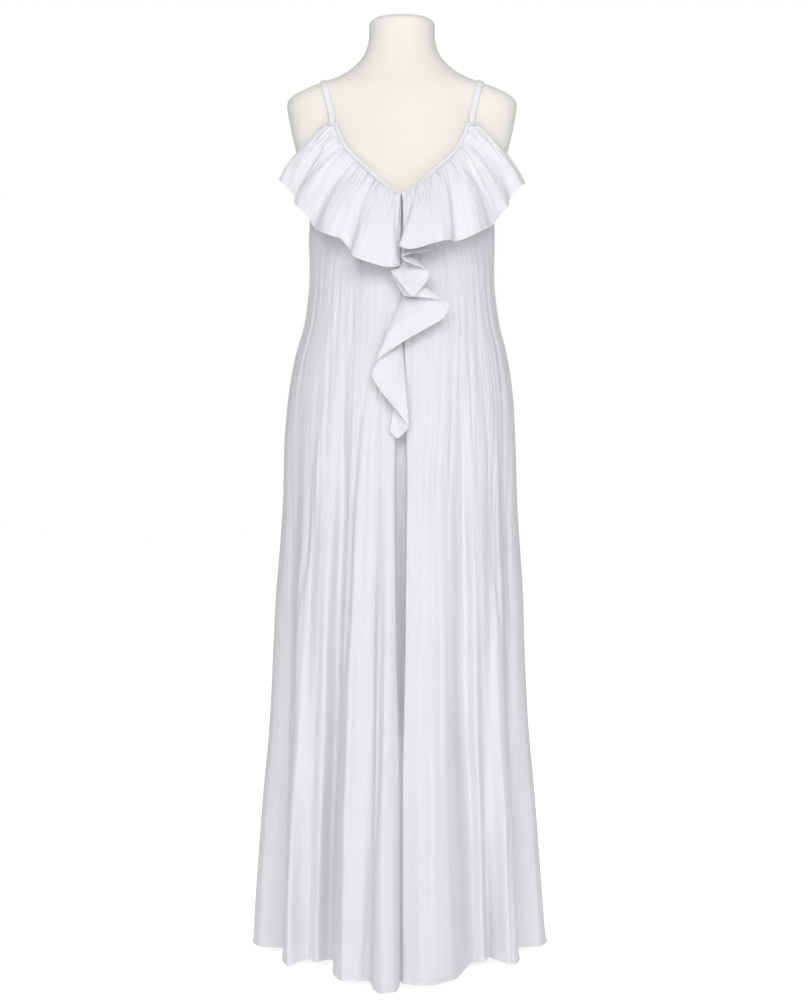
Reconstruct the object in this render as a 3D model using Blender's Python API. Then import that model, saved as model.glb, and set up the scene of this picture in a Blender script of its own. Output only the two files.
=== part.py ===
# A strappy maxi dress with a gathered neck flounce and a waterfall cascade, on a limbless dress form.
# Units are metres and +Z is up. The wearer's front faces -Y and the base plate stands on the plane z = 0.
# "Depth" below means the distance in front of the form's upright axis, so y = -depth.
# An angle goes round the body in degrees: 0 is the centre front, 90 the +X side, 180 the centre back.

import math
from collections import namedtuple

import bpy
import numpy as np

# Driving sizes of the cloth
HEM_HEIGHT = 0.010
LOOSE_HEIGHT = 1.110
BODICE_HEIGHT = 1.170
BODICE_EASE = 0.0060
WALL = 0.0020
RUFFLE_WALL = 0.0012
SEAM_GAP = 0.0003
BINDING_WIDTH = 0.0075
BINDING_WALL = 0.0012
STEEPEST_BAND = 2.0
STRAP_WIDTH = 0.0100
STRAP_WALL = 0.0018

# Driving sizes of the dress form
STUMP_SPREAD = 18.0
FORM_COLUMNS = 32
POLE_RADIUS = 0.016
BASE_RADIUS = 0.125
BASE_THICKNESS = 0.014
BASE_CHAMFER = 0.003
COLLAR_RADIUS = 0.030
COLLAR_HEIGHT = 0.030

# Sections of the dress form, from the top down. "stump" is how far the arm stump widens the section.
FormSection = namedtuple("FormSection", "height half_width stump front back")
FORM_SECTIONS = [
    FormSection(1.541, 0.033, 0.000, 0.020, 0.042),
    FormSection(1.537, 0.045, 0.000, 0.034, 0.054),
    FormSection(1.528, 0.054, 0.000, 0.044, 0.064),
    FormSection(1.508, 0.054, 0.000, 0.046, 0.066),
    FormSection(1.488, 0.058, 0.000, 0.047, 0.067),
    FormSection(1.474, 0.065, 0.000, 0.048, 0.068),
    FormSection(1.462, 0.075, 0.000, 0.050, 0.069),
    FormSection(1.446, 0.096, 0.000, 0.054, 0.071),
    FormSection(1.437, 0.115, 0.000, 0.056, 0.073),
    FormSection(1.429, 0.138, 0.000, 0.059, 0.075),
    FormSection(1.421, 0.157, 0.002, 0.062, 0.077),
    FormSection(1.412, 0.165, 0.012, 0.065, 0.079),
    FormSection(1.403, 0.165, 0.022, 0.068, 0.081),
    FormSection(1.388, 0.161, 0.028, 0.072, 0.084),
    FormSection(1.350, 0.152, 0.030, 0.080, 0.088),
    FormSection(1.320, 0.147, 0.028, 0.087, 0.090),
    FormSection(1.298, 0.145, 0.026, 0.090, 0.091),
    FormSection(1.286, 0.144, 0.019, 0.091, 0.092),
    FormSection(1.278, 0.144, 0.009, 0.092, 0.092),
    FormSection(1.270, 0.144, 0.000, 0.093, 0.092),
    FormSection(1.235, 0.144, 0.000, 0.099, 0.092),
    FormSection(1.200, 0.146, 0.000, 0.112, 0.092),
    FormSection(1.170, 0.147, 0.000, 0.121, 0.092),
    FormSection(1.140, 0.146, 0.000, 0.120, 0.090),
    FormSection(1.095, 0.137, 0.000, 0.108, 0.084),
    FormSection(1.020, 0.120, 0.000, 0.092, 0.080),
    FormSection(0.950, 0.133, 0.000, 0.099, 0.094),
    FormSection(0.870, 0.155, 0.000, 0.106, 0.110),
    FormSection(0.800, 0.163, 0.000, 0.106, 0.112),
    FormSection(0.725, 0.158, 0.000, 0.098, 0.103),
    FormSection(0.700, 0.148, 0.000, 0.088, 0.093),
]

# Sections of the dress below the bust, without its flutes. "centre" is the sideways place of the middle.
DressSection = namedtuple("DressSection", "height centre half_width front back")
DRESS_SECTIONS = [
    DressSection(0.010, -0.004, 0.2435, 0.245, 0.240),
    DressSection(0.117, -0.005, 0.2360, 0.236, 0.230),
    DressSection(0.249, -0.005, 0.2260, 0.222, 0.216),
    DressSection(0.381, -0.005, 0.2140, 0.206, 0.200),
    DressSection(0.480, -0.005, 0.2085, 0.194, 0.186),
    DressSection(0.579, -0.004, 0.2045, 0.182, 0.172),
    DressSection(0.678, -0.003, 0.1970, 0.170, 0.158),
    DressSection(0.744, -0.003, 0.1930, 0.162, 0.150),
    DressSection(0.843, -0.003, 0.1900, 0.152, 0.139),
    DressSection(0.909, -0.002, 0.1855, 0.147, 0.130),
    DressSection(0.975, -0.001, 0.1755, 0.142, 0.118),
    DressSection(1.041, 0.000, 0.1590, 0.137, 0.107),
    DressSection(1.110, 0.000, 0.1520, 0.134, 0.101),
    DressSection(1.170, 0.000, 0.1520, 0.127, 0.097),
]

# Heights of the rows of the skirt's mesh, and of the bodice's as a share of the way to the top edge
SKIRT_ROWS = [
    0.010, 0.090, 0.180, 0.280, 0.380, 0.480, 0.580, 0.670, 0.760, 0.850, 0.940, 1.020, 1.095, 1.170,
]
BODICE_ROWS = [0.35, 0.65, 0.85, 1.0]

# Lines down the skirt, each a ridge or a hollow of a flute. "angle" is its place on the bodice, "x" and
# "depth" are its place at the hem, and "start" is the height where the flute begins.
FoldLine = namedtuple("FoldLine", "name angle x depth start")
FRONT_LEFT_FOLDS = [
    FoldLine("side seam", -90, -0.2470, -0.014, 0.88),
    FoldLine("outer panel", -82, -0.2340, 0.010, 0.88),
    FoldLine("outer panel edge", -75, -0.2180, 0.014, 0.88),
    FoldLine("outer hollow edge", -70, -0.2040, 0.015, 0.90),
    FoldLine("outer hollow outside", -66, -0.1925, 0.020, 0.92),
    FoldLine("outer hollow", -61, -0.1840, 0.040, 0.96),
    FoldLine("bright ridge outside", -54, -0.1900, 0.108, 0.96),
    FoldLine("bright ridge", -49, -0.1800, 0.131, 0.96),
    FoldLine("bright ridge inside", -44, -0.1640, 0.110, 0.82),
    FoldLine("shallow hollow", -39, -0.1510, 0.094, 0.68),
    FoldLine("shallow ridge", -34, -0.1350, 0.113, 0.68),
    FoldLine("sharp hollow", -28, -0.1165, 0.094, 1.03),
    FoldLine("panel turn", -24, -0.1060, 0.180, 1.03),
    FoldLine("panel edge", -20, -0.0950, 0.221, 0.98),
    FoldLine("panel", -15, -0.0660, 0.229, 0.93),
    FoldLine("soft hollow", -11, -0.0490, 0.228, 0.93),
    FoldLine("tube outside", -8.5, -0.0430, 0.276, 0.90),
    FoldLine("tube crest", -6, -0.0270, 0.300, 0.90),
    FoldLine("tube inside", -4, -0.0110, 0.292, 0.90),
]
FRONT_RIGHT_FOLDS = [
    FoldLine("panel inside", 5, 0.0120, 0.244, 0.93),
    FoldLine("panel crest", 9, 0.0300, 0.256, 0.93),
    FoldLine("panel", 14, 0.0520, 0.247, 0.93),
    FoldLine("panel edge", 20, 0.0780, 0.223, 0.93),
    FoldLine("soft turn", 24, 0.0930, 0.186, 0.93),
    FoldLine("hollow inside", 28, 0.1030, 0.140, 0.96),
    FoldLine("hollow", 32, 0.1150, 0.110, 0.96),
    FoldLine("shallow ridge", 36, 0.1290, 0.117, 0.70),
    FoldLine("shallow hollow", 41, 0.1390, 0.084, 0.70),
    FoldLine("bright ridge inside", 46, 0.1540, 0.103, 0.82),
    FoldLine("bright ridge", 51, 0.1730, 0.127, 0.96),
    FoldLine("bright ridge outside", 55, 0.1850, 0.108, 0.96),
    FoldLine("outer hollow", 61, 0.1820, 0.036, 0.96),
    FoldLine("outer hollow outside", 66, 0.1890, 0.016, 0.92),
    FoldLine("outer hollow edge", 70, 0.1990, 0.013, 0.90),
    FoldLine("outer panel edge", 75, 0.2120, 0.012, 0.88),
    FoldLine("outer panel", 82, 0.2270, 0.008, 0.88),
    FoldLine("side seam", 90, 0.2390, -0.018, 0.88),
]
BACK_FOLDS = [
    FoldLine("side ridge", 101, 0.2300, -0.068, 0.90),
    FoldLine("side ridge inside", 108, 0.2110, -0.094, 0.90),
    FoldLine("side hollow", 115, 0.1660, -0.090, 0.96),
    FoldLine("quarter ridge outside", 122, 0.1800, -0.146, 0.96),
    FoldLine("quarter ridge", 129, 0.1660, -0.174, 0.93),
    FoldLine("quarter ridge inside", 137, 0.1360, -0.176, 0.93),
    FoldLine("quarter hollow", 145, 0.1060, -0.140, 0.98),
    FoldLine("centre ridge outside", 151, 0.1040, -0.204, 0.98),
    FoldLine("centre ridge", 159, 0.0820, -0.236, 0.93),
    FoldLine("centre ridge inside", 167, 0.0480, -0.230, 0.93),
    FoldLine("centre hollow", 175, 0.0220, -0.176, 0.96),
    FoldLine("middle ridge outside", 181, -0.0020, -0.222, 0.96),
    FoldLine("middle ridge", 189, -0.0300, -0.242, 0.93),
    FoldLine("middle ridge inside", 197, -0.0630, -0.228, 0.93),
    FoldLine("far hollow", 205, -0.0810, -0.168, 0.98),
    FoldLine("far ridge outside", 212, -0.1140, -0.196, 0.98),
    FoldLine("far ridge", 221, -0.1430, -0.194, 0.93),
    FoldLine("far ridge inside", 230, -0.1660, -0.164, 0.93),
    FoldLine("last hollow", 239, -0.1620, -0.104, 0.96),
    FoldLine("last ridge", 249, -0.2060, -0.112, 0.93),
    FoldLine("last ridge inside", 259, -0.2350, -0.070, 0.90),
    FoldLine("side seam", 270, -0.2470, -0.014, 0.88),
]
FLUTE_GROWTH = 1.35
FRONT_STEPS = 2
BACK_STEPS = 1

# The deep inverted fold at the centre front: its width and depth at each height. Its floor holds the seam.
CentreFold = namedtuple("CentreFold", "height width depth")
CENTRE_FOLD = [
    CentreFold(0.010, 0.0050, 0.062),
    CentreFold(0.280, 0.0055, 0.062),
    CentreFold(0.520, 0.0065, 0.060),
    CentreFold(0.620, 0.0110, 0.056),
    CentreFold(0.690, 0.0180, 0.050),
    CentreFold(0.860, 0.0200, 0.030),
    CentreFold(0.940, 0.0140, 0.010),
    CentreFold(1.020, 0.0120, 0.000),
]
CENTRE_FOLD_X = -0.0015
LIP_LEFT = FoldLine("left lip", -3, CENTRE_FOLD_X, 0.266, 0.93)
LIP_RIGHT = FoldLine("right lip", 3, CENTRE_FOLD_X, 0.238, 0.93)

# Points across each flank of the inverted fold: the share of its half width and of its depth
FlankPoint = namedtuple("FlankPoint", "width depth")
FLANK_POINTS = [
    FlankPoint(0.76, 0.5),
    FlankPoint(0.52, 1.0),
]

# Top edge of the dress: by distance from the middle on the V neck, and by angle from the strap backwards
NeckPoint = namedtuple("NeckPoint", "x height")
NECK_EDGE = [
    NeckPoint(0.000, 1.2356),
    NeckPoint(0.010, 1.2385),
    NeckPoint(0.032, 1.2557),
    NeckPoint(0.061, 1.2840),
    NeckPoint(0.085, 1.3085),
    NeckPoint(0.097, 1.3305),
    NeckPoint(0.106, 1.3540),
]
ArmholePoint = namedtuple("ArmholePoint", "angle height")
ARMHOLE_EDGE = [
    ArmholePoint(61, 1.354),
    ArmholePoint(66, 1.354),
    ArmholePoint(70, 1.324),
    ArmholePoint(75, 1.294),
    ArmholePoint(82, 1.266),
    ArmholePoint(90, 1.252),
    ArmholePoint(120, 1.250),
    ArmholePoint(180, 1.258),
]
NECK_END = 61

# Angles of the inner and the outer edge of a strap, where it is sewn on at the front and at the back
STRAP_FRONT = (61, 66)
STRAP_BACK = (131, 126)

# The flounce: each row is a roll or a hollow, with its angle on the neck seam and its place at the free edge
FlounceFold = namedtuple("FlounceFold", "name angle x height depth")
FLOUNCE_LEFT = [
    FlounceFold("inner end", -3, -0.0060, 1.112, 0.144),
    FlounceFold("centre roll inside", -8, -0.0240, 1.107, 0.168),
    FlounceFold("centre roll", -13, -0.0500, 1.114, 0.174),
    FlounceFold("centre roll outside", -18, -0.0750, 1.124, 0.166),
    FlounceFold("first hollow", -23, -0.0830, 1.139, 0.138),
    FlounceFold("second roll inside", -28, -0.0950, 1.155, 0.130),
    FlounceFold("second roll", -33, -0.1130, 1.160, 0.138),
    FlounceFold("second roll outside", -38, -0.1290, 1.169, 0.122),
    FlounceFold("second hollow", -43, -0.1390, 1.180, 0.096),
    FlounceFold("third roll", -48, -0.1550, 1.202, 0.092),
    FlounceFold("third roll outside", -53, -0.1730, 1.223, 0.074),
    FlounceFold("third hollow", -57, -0.1700, 1.233, 0.052),
    FlounceFold("tip inside", -60, -0.1910, 1.256, 0.052),
    FlounceFold("tip", -63.5, -0.1990, 1.266, 0.028),
    FlounceFold("end", -66, -0.1920, 1.254, 0.010),
]
FLOUNCE_RIGHT = [
    FlounceFold("inner end", 3, 0.0060, 1.152, 0.142),
    FlounceFold("recess", 8, 0.0180, 1.150, 0.146),
    FlounceFold("under the turn", 13, 0.0300, 1.145, 0.154),
    FlounceFold("turned tip", 19, -0.0035, 1.1375, 0.180),
    FlounceFold("centre roll inside", 23, 0.0130, 1.133, 0.186),
    FlounceFold("centre roll", 27, 0.0400, 1.1405, 0.180),
    FlounceFold("centre roll outside", 32, 0.0720, 1.150, 0.160),
    FlounceFold("first hollow", 36, 0.0870, 1.1525, 0.136),
    FlounceFold("second roll", 41, 0.1050, 1.159, 0.136),
    FlounceFold("second roll outside", 45, 0.1300, 1.172, 0.122),
    FlounceFold("second hollow", 49, 0.1440, 1.184, 0.090),
    FlounceFold("third roll", 52, 0.1550, 1.199, 0.082),
    FlounceFold("third roll outside", 55, 0.1740, 1.224, 0.066),
    FlounceFold("third hollow", 58, 0.1760, 1.237, 0.050),
    FlounceFold("tip inside", 60.5, 0.1920, 1.254, 0.050),
    FlounceFold("tip", 63.5, 0.2015, 1.263, 0.028),
    FlounceFold("end", 66, 0.1940, 1.250, 0.010),
]
FLOUNCE_ROWS = [0.0, 0.16, 0.42, 0.72, 1.0]
FLOUNCE_STEPS = 3
FLOUNCE_BOW = 0.010
GATHER_SLOPE = 0.24
GATHER_HEIGHT = 0.006
FLOUNCE_LIFT = 0.0005

# The cascade: each row is a turn of its free edge. "seam" is the height of the sewn end of that line.
CascadeFold = namedtuple("CascadeFold", "name seam x height depth")
CASCADE_FOLDS = [
    CascadeFold("start", 1.150, 0.0440, 1.134, 0.160),
    CascadeFold("first left turn", 1.143, 0.0000, 1.121, 0.172),
    CascadeFold("first right turn", 1.136, 0.0430, 1.100, 0.159),
    CascadeFold("first right return", 1.129, 0.0390, 1.086, 0.160),
    CascadeFold("second point", 1.122, 0.0170, 1.061, 0.171),
    CascadeFold("second left side", 1.115, -0.0080, 1.090, 0.166),
    CascadeFold("second left turn", 1.108, -0.0170, 1.102, 0.156),
    CascadeFold("behind the second point", 1.103, 0.0040, 1.064, 0.152),
    CascadeFold("under layer", 1.099, 0.0400, 1.060, 0.162),
    CascadeFold("third right tip", 1.093, 0.0740, 1.052, 0.160),
    CascadeFold("third right return", 1.076, 0.0660, 1.030, 0.153),
    CascadeFold("third lower edge", 1.062, 0.0100, 0.996, 0.164),
    CascadeFold("third left side", 1.048, -0.0400, 0.961, 0.166),
    CascadeFold("third left turn", 1.030, -0.0470, 0.940, 0.160),
    CascadeFold("fourth left side", 1.012, -0.0350, 0.917, 0.160),
    CascadeFold("fourth lower edge", 0.992, -0.0070, 0.882, 0.170),
    CascadeFold("fourth right turn", 0.975, 0.0110, 0.858, 0.171),
    CascadeFold("tail point", 0.960, -0.0070, 0.840, 0.160),
    CascadeFold("tail end", 0.945, -0.0190, 0.852, 0.158),
]
CASCADE_ROWS = [0.0, 0.2, 0.42, 0.66, 0.84, 1.0]
CASCADE_STEPS = 3
CASCADE_BOW = 0.006
CASCADE_ROOT = 0.16
SEAM_X = 0.001

# Path of the right strap over the shoulder, seen from the front. It is then laid on the form.
StrapPoint = namedtuple("StrapPoint", "x depth height clearance")
STRAP_PATH = [
    StrapPoint(0.1105, 0.0560, 1.3560, 0.0040),
    StrapPoint(0.1160, 0.0480, 1.3850, 0.0018),
    StrapPoint(0.1240, 0.0300, 1.4150, 0.0012),
    StrapPoint(0.1290, 0.0000, 1.4320, 0.0006),
    StrapPoint(0.1250, -0.0350, 1.4180, 0.0026),
    StrapPoint(0.1130, -0.0600, 1.3780, 0.0020),
    StrapPoint(0.1060, -0.0700, 1.3200, 0.0020),
    StrapPoint(0.1040, -0.0740, 1.2520, 0.0040),
]
STRAP_STEPS = 4

Finish = namedtuple("Finish", "colour roughness metallic")
CLOTH = Finish((0.83, 0.82, 0.85), 0.85, 0.0)
FORM_SKIN = Finish((0.87, 0.85, 0.79), 0.70, 0.0)
STEEL = Finish((0.62, 0.62, 0.63), 0.40, 1.0)


def clear_scene():
    for scene_object in list(bpy.data.objects):
        bpy.data.objects.remove(scene_object, do_unlink=True)


def make_material(name, finish):
    material = bpy.data.materials.new(name)
    material.use_nodes = True
    shader = material.node_tree.nodes["Principled BSDF"]
    shader.inputs["Base Color"].default_value = (*finish.colour, 1.0)
    shader.inputs["Roughness"].default_value = finish.roughness
    shader.inputs["Metallic"].default_value = finish.metallic
    return material


def signed_volume(points, faces):
    """Volume inside the faces, negative when they face inwards."""
    volume = 0.0
    for face in faces:
        first = points[face[0]]
        for second, third in zip(face[1:-1], face[2:]):
            volume += np.dot(first, np.cross(points[second], points[third])) / 6
    return volume


def make_solid(name, points, faces, finish):
    if signed_volume(points, faces) < 0:
        faces = [face[::-1] for face in faces]
    mesh = bpy.data.meshes.new(name)
    mesh.from_pydata(points.tolist(), [], faces)
    mesh.materials.append(make_material(name, finish))
    mesh.shade_smooth()
    mesh.set_sharp_from_angle(angle=math.radians(50))
    solid = bpy.data.objects.new(name, mesh)
    bpy.context.scene.collection.objects.link(solid)
    return solid


# Interpolation and vectors

def read_table(rows, key, field, value):
    """Value of one column of a table at a place along another, with straight runs between the rows."""
    keys = np.array([getattr(row, key) for row in rows])
    values = np.array([getattr(row, field) for row in rows])
    order = np.argsort(keys)
    return np.interp(value, keys[order], values[order])


def unit(vectors):
    return vectors / np.maximum(np.linalg.norm(vectors, axis=-1, keepdims=True), 1e-12)


def smooth_path(points, steps):
    """Points of a smooth curve through the given ones. At each it runs halfway between its two chords."""
    points = np.asarray(points, dtype=float)
    ways = unit(np.diff(points, axis=0))
    bends = unit(np.vstack([ways[:1], ways[:-1] + ways[1:], ways[-1:]]))
    path = []
    for start, end, leave, arrive in zip(points[:-1], points[1:], bends[:-1], bends[1:]):
        pull = np.linalg.norm(end - start)
        for step in range(steps):
            t = step / steps
            path.append((2 * t**3 - 3 * t**2 + 1) * start
                        + (t**3 - 2 * t**2 + t) * pull * leave
                        + (3 * t**2 - 2 * t**3) * end
                        + (t**3 - t**2) * pull * arrive)
    path.append(points[-1])
    return np.array(path)


def even_steps(values, steps):
    """Values between the given ones in even steps, as many as smooth_path makes."""
    places = np.arange((len(values) - 1) * steps + 1) / steps
    return np.interp(places, np.arange(len(values)), values)


def smooth_greater(value, floor, softness):
    """The greater of two numbers, rounded where they meet."""
    return 0.5 * (value + floor + np.sqrt((value - floor)**2 + softness**2))


# Sections of the form and of the dress. Their angles are in radians.

def oval_radius(angle, half_width, front, back):
    sine = np.sin(angle)
    cosine = np.cos(angle)
    reach = np.where(cosine > 0, front, back)
    return 1 / np.sqrt((sine / half_width)**2 + (cosine / reach)**2)


def form_radius(angle, height):
    """Distance from the axis to the form: an oval, widened at each side by an arm stump."""
    half_width = read_table(FORM_SECTIONS, "height", "half_width", height)
    front = read_table(FORM_SECTIONS, "height", "front", height)
    back = read_table(FORM_SECTIONS, "height", "back", height)
    stump = read_table(FORM_SECTIONS, "height", "stump", height)
    from_side = np.degrees(np.arccos(np.clip(np.abs(np.sin(angle)), 0, 1)))
    return oval_radius(angle, half_width, front, back) + stump * np.exp(-(from_side / STUMP_SPREAD)**4)


def on_circle(angle, radius):
    return np.stack([radius * np.sin(angle), -radius * np.cos(angle)], axis=-1)


def dress_point(angle, height):
    """Point of the unfluted dress: an oval below the bust, and the form's own shape plus ease above it."""
    centre = read_table(DRESS_SECTIONS, "height", "centre", height)
    half_width = read_table(DRESS_SECTIONS, "height", "half_width", height)
    front = read_table(DRESS_SECTIONS, "height", "front", height)
    back = read_table(DRESS_SECTIONS, "height", "back", height)
    reach = np.where(np.cos(angle) > 0, front, back)
    loose = np.stack([centre + half_width * np.sin(angle), -reach * np.cos(angle)], axis=-1)
    fitted = on_circle(angle, form_radius(angle, height) + BODICE_EASE)
    share = np.clip((height - LOOSE_HEIGHT) / (BODICE_HEIGHT - LOOSE_HEIGHT), 0, 1)[..., None]
    return loose * (1 - share) + fitted * share


def top_height(degrees):
    """Height of the dress's top edge at an angle in degrees."""
    turn = abs((degrees + 180) % 360 - 180)
    if turn >= NECK_END:
        return float(read_table(ARMHOLE_EDGE, "angle", "height", turn))
    angle = math.radians(turn)
    height = BODICE_HEIGHT
    for _ in range(12):
        side = (form_radius(angle, height) + BODICE_EASE) * math.sin(angle)
        height = float(read_table(NECK_EDGE, "x", "height", side))
    return height


def keep_clear(points, lift, softness):
    """Move points outwards until they stand off the dress and the form by the lift."""
    angle = np.arctan2(points[..., 0], -points[..., 1])
    distance = np.hypot(points[..., 0], points[..., 1])
    height = points[..., 2]
    dress = np.linalg.norm(dress_point(angle, height), axis=-1)
    floor = np.maximum(dress, form_radius(angle, height) + BODICE_EASE) + lift
    stretch = smooth_greater(distance, floor, softness) / np.maximum(distance, 1e-6)
    return points * np.stack([stretch, stretch, np.ones_like(stretch)], axis=-1)


# Cloth walls

def sheet_normals(grid, closed=False):
    """Unit normals of a grid of points, rows first."""
    if closed:
        across = np.roll(grid, -1, axis=1) - np.roll(grid, 1, axis=1)
    else:
        across = np.gradient(grid, axis=1)
    return unit(np.cross(across, np.gradient(grid, axis=0)))


def trim_ends(grid):
    """Draw both end columns in by half a seam gap."""
    trimmed = grid.copy()
    trimmed[:, 0] += unit(grid[:, 1] - grid[:, 0]) * SEAM_GAP / 2
    trimmed[:, -1] += unit(grid[:, -2] - grid[:, -1]) * SEAM_GAP / 2
    return trimmed


def wall_between(name, outer, inner, finish):
    """A closed wall between two grids of points, with its rim all round.

    Both sides of a cell are cut along the same diagonal, the shorter one, so that the wall keeps its
    thickness.
    """
    rows, columns = outer.shape[:2]
    offset = rows * columns
    rising = np.linalg.norm(outer[1:, 1:] - outer[:-1, :-1], axis=-1)
    falling = np.linalg.norm(outer[1:, :-1] - outer[:-1, 1:], axis=-1)
    faces = []
    for row in range(rows - 1):
        for place in range(columns - 1):
            low = row * columns + place
            high = low + columns
            if rising[row, place] < falling[row, place]:
                halves = ([low, low + 1, high + 1], [low, high + 1, high])
            else:
                halves = ([low, low + 1, high], [low + 1, high + 1, high])
            for half in halves:
                faces.append(half)
                faces.append([corner + offset for corner in reversed(half)])
    border = list(range(columns))
    border += [row * columns + columns - 1 for row in range(1, rows)]
    border += [(rows - 1) * columns + place for place in range(columns - 2, -1, -1)]
    border += [row * columns for row in range(rows - 2, 0, -1)]
    for here, following in zip(border, border[1:] + border[:1]):
        faces.append([following, here, here + offset, following + offset])
    points = np.vstack([outer.reshape(-1, 3), inner.reshape(-1, 3)])
    return make_solid(name, points, faces, finish)


# The panels of the dress

def fluted_ring(folds, height):
    """The skirt's section at a height, as one point for each fold line."""
    angle = np.radians([fold.angle for fold in folds])
    start = np.array([fold.start for fold in folds])
    at_hem = np.array([(fold.x, -fold.depth) for fold in folds])
    plain = dress_point(angle, np.full(len(folds), height))
    plain_hem = dress_point(angle, np.full(len(folds), HEM_HEIGHT))
    share = np.clip((start - height) / (start - HEM_HEIGHT), 0, 1)**FLUTE_GROWTH
    ring = plain + share[:, None] * (at_hem - plain_hem)
    return np.column_stack([ring, np.full(len(folds), height)])


def bodice_ring(folds, steps, share):
    """The bodice's section part of the way from the bust to the top edge."""
    ring = []
    for degrees in even_steps([fold.angle for fold in folds], steps):
        angle = math.radians(degrees)
        height = BODICE_HEIGHT + share * (top_height(degrees) - BODICE_HEIGHT)
        x, y = on_circle(angle, form_radius(angle, height) + BODICE_EASE)
        ring.append((x, y, height))
    return np.array(ring)


def inverted_fold(left_lip, right_lip):
    """Points from one lip of the centre fold, down its flank, over its floor and up to the other lip."""
    depth = float(read_table(CENTRE_FOLD, "height", "depth", left_lip[2]))
    middle = (left_lip + right_lip) / 2
    floor_y = max(left_lip[1], right_lip[1]) + depth
    points = []
    for lip, flank in ((left_lip, FLANK_POINTS), (right_lip, FLANK_POINTS[::-1])):
        for place in flank:
            point = middle + (lip - middle) * place.width
            point[1] = lip[1] + (floor_y - lip[1]) * place.depth
            points.append(point)
    centre = middle.copy()
    centre[1] = floor_y
    points.insert(len(FLANK_POINTS), centre)
    return np.array(points)


def dress_rings():
    """Outer points of the dress, a row for each height, going round from the left side seam."""
    left = FRONT_LEFT_FOLDS + [LIP_LEFT]
    right = [LIP_RIGHT] + FRONT_RIGHT_FOLDS
    back = [FRONT_RIGHT_FOLDS[-1]] + BACK_FOLDS
    panels = ((left, FRONT_STEPS), (right, FRONT_STEPS), (back, BACK_STEPS))
    rows = []
    for height in SKIRT_ROWS:
        rings = [fluted_ring(folds, height) for folds, _ in panels]
        half_width = float(read_table(CENTRE_FOLD, "height", "width", height)) / 2
        rings[0][-1, 0] = CENTRE_FOLD_X - half_width
        rings[1][0, 0] = CENTRE_FOLD_X + half_width
        rows.append([smooth_path(ring, steps) for ring, (_, steps) in zip(rings, panels)])
    for share in BODICE_ROWS:
        rows.append([bodice_ring(folds, steps, share) for folds, steps in panels])
    grid = []
    for left_ring, right_ring, back_ring in rows:
        between = inverted_fold(left_ring[-1], right_ring[0])
        grid.append(np.vstack([left_ring, between, right_ring, back_ring[1:]]))
    return np.array(grid)


class Dress:
    """Outer points and normals of the whole dress, with the column numbers of its seams."""

    def __init__(self):
        self.grid = dress_rings()
        open_grid = self.grid[:, :-1]
        normals = sheet_normals(open_grid, closed=True)
        self.normals = np.concatenate([normals, normals[:, :1]], axis=1)
        self.centre_seam = len(FRONT_LEFT_FOLDS) * FRONT_STEPS + 1 + len(FLANK_POINTS)
        right_lip = self.centre_seam + len(FLANK_POINTS) + 1
        self.right_seam = right_lip + len(FRONT_RIGHT_FOLDS) * FRONT_STEPS
        self.last = self.grid.shape[1] - 1
        top = self.grid[-1]
        self.angles = np.degrees(np.unwrap(np.arctan2(top[:, 0], -top[:, 1])))
        steps = np.gradient(top, axis=0)
        slant = np.linalg.norm(steps, axis=1) / np.hypot(steps[:, 0], steps[:, 1])
        self.band = BINDING_WIDTH * np.minimum(slant, STEEPEST_BAND)

    def column(self, degrees):
        """Place along the columns of an angle, as a whole number and a share of the next step."""
        turn = degrees
        if degrees < self.angles[0]:
            turn += 360
        place = float(np.interp(turn, self.angles, np.arange(self.last + 1)))
        whole = min(int(place), self.last - 1)
        return whole, place - whole

    def top_edge(self, degrees):
        """Point and normal at the top edge of a panel."""
        whole, share = self.column(degrees)
        top = self.grid[-1, whole] * (1 - share) + self.grid[-1, whole + 1] * share
        normal = self.normals[-1, whole] * (1 - share) + self.normals[-1, whole + 1] * share
        return top, unit(normal)

    def below_band(self, degrees):
        """Point and normal on a panel, just below the band of its binding."""
        whole, share = self.column(degrees)
        top, normal = self.top_edge(degrees)
        below = self.grid[-2, whole] * (1 - share) + self.grid[-2, whole + 1] * share
        band = self.band[whole] * (1 - share) + self.band[whole + 1] * share
        return top + unit(below - top) * (band + 2 * SEAM_GAP), normal


def build_panel(dress, name, first, last):
    outer = trim_ends(dress.grid[:, first:last + 1])
    inner = outer - dress.normals[:, first:last + 1] * WALL
    wall_between(name, outer, inner, CLOTH)


def build_binding(dress, name, first, last):
    """A narrow band on the neck edge, made from the panels' own points, moved out."""
    top = dress.grid[-1, first:last + 1]
    normal = dress.normals[-1, first:last + 1]
    down = unit(dress.grid[-2, first:last + 1] - top) * dress.band[first:last + 1, None]
    inner = trim_ends(np.array([top + down, top]) + normal * SEAM_GAP)
    wall_between(name, inner + normal * BINDING_WALL, inner, CLOTH)


# The flounce and the cascade

def build_ruffle(name, rows, seam_normals):
    """A thin wall round a sheet. Its sewn edge is square to the panel that it is sewn to."""
    sheet = np.array(rows)
    normals = sheet_normals(sheet)
    facing = np.sign(np.sum(normals[0] * seam_normals))
    normals[0] = seam_normals * facing
    half = normals * RUFFLE_WALL / 2
    wall_between(name, sheet + half, sheet - half, CLOTH)


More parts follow.
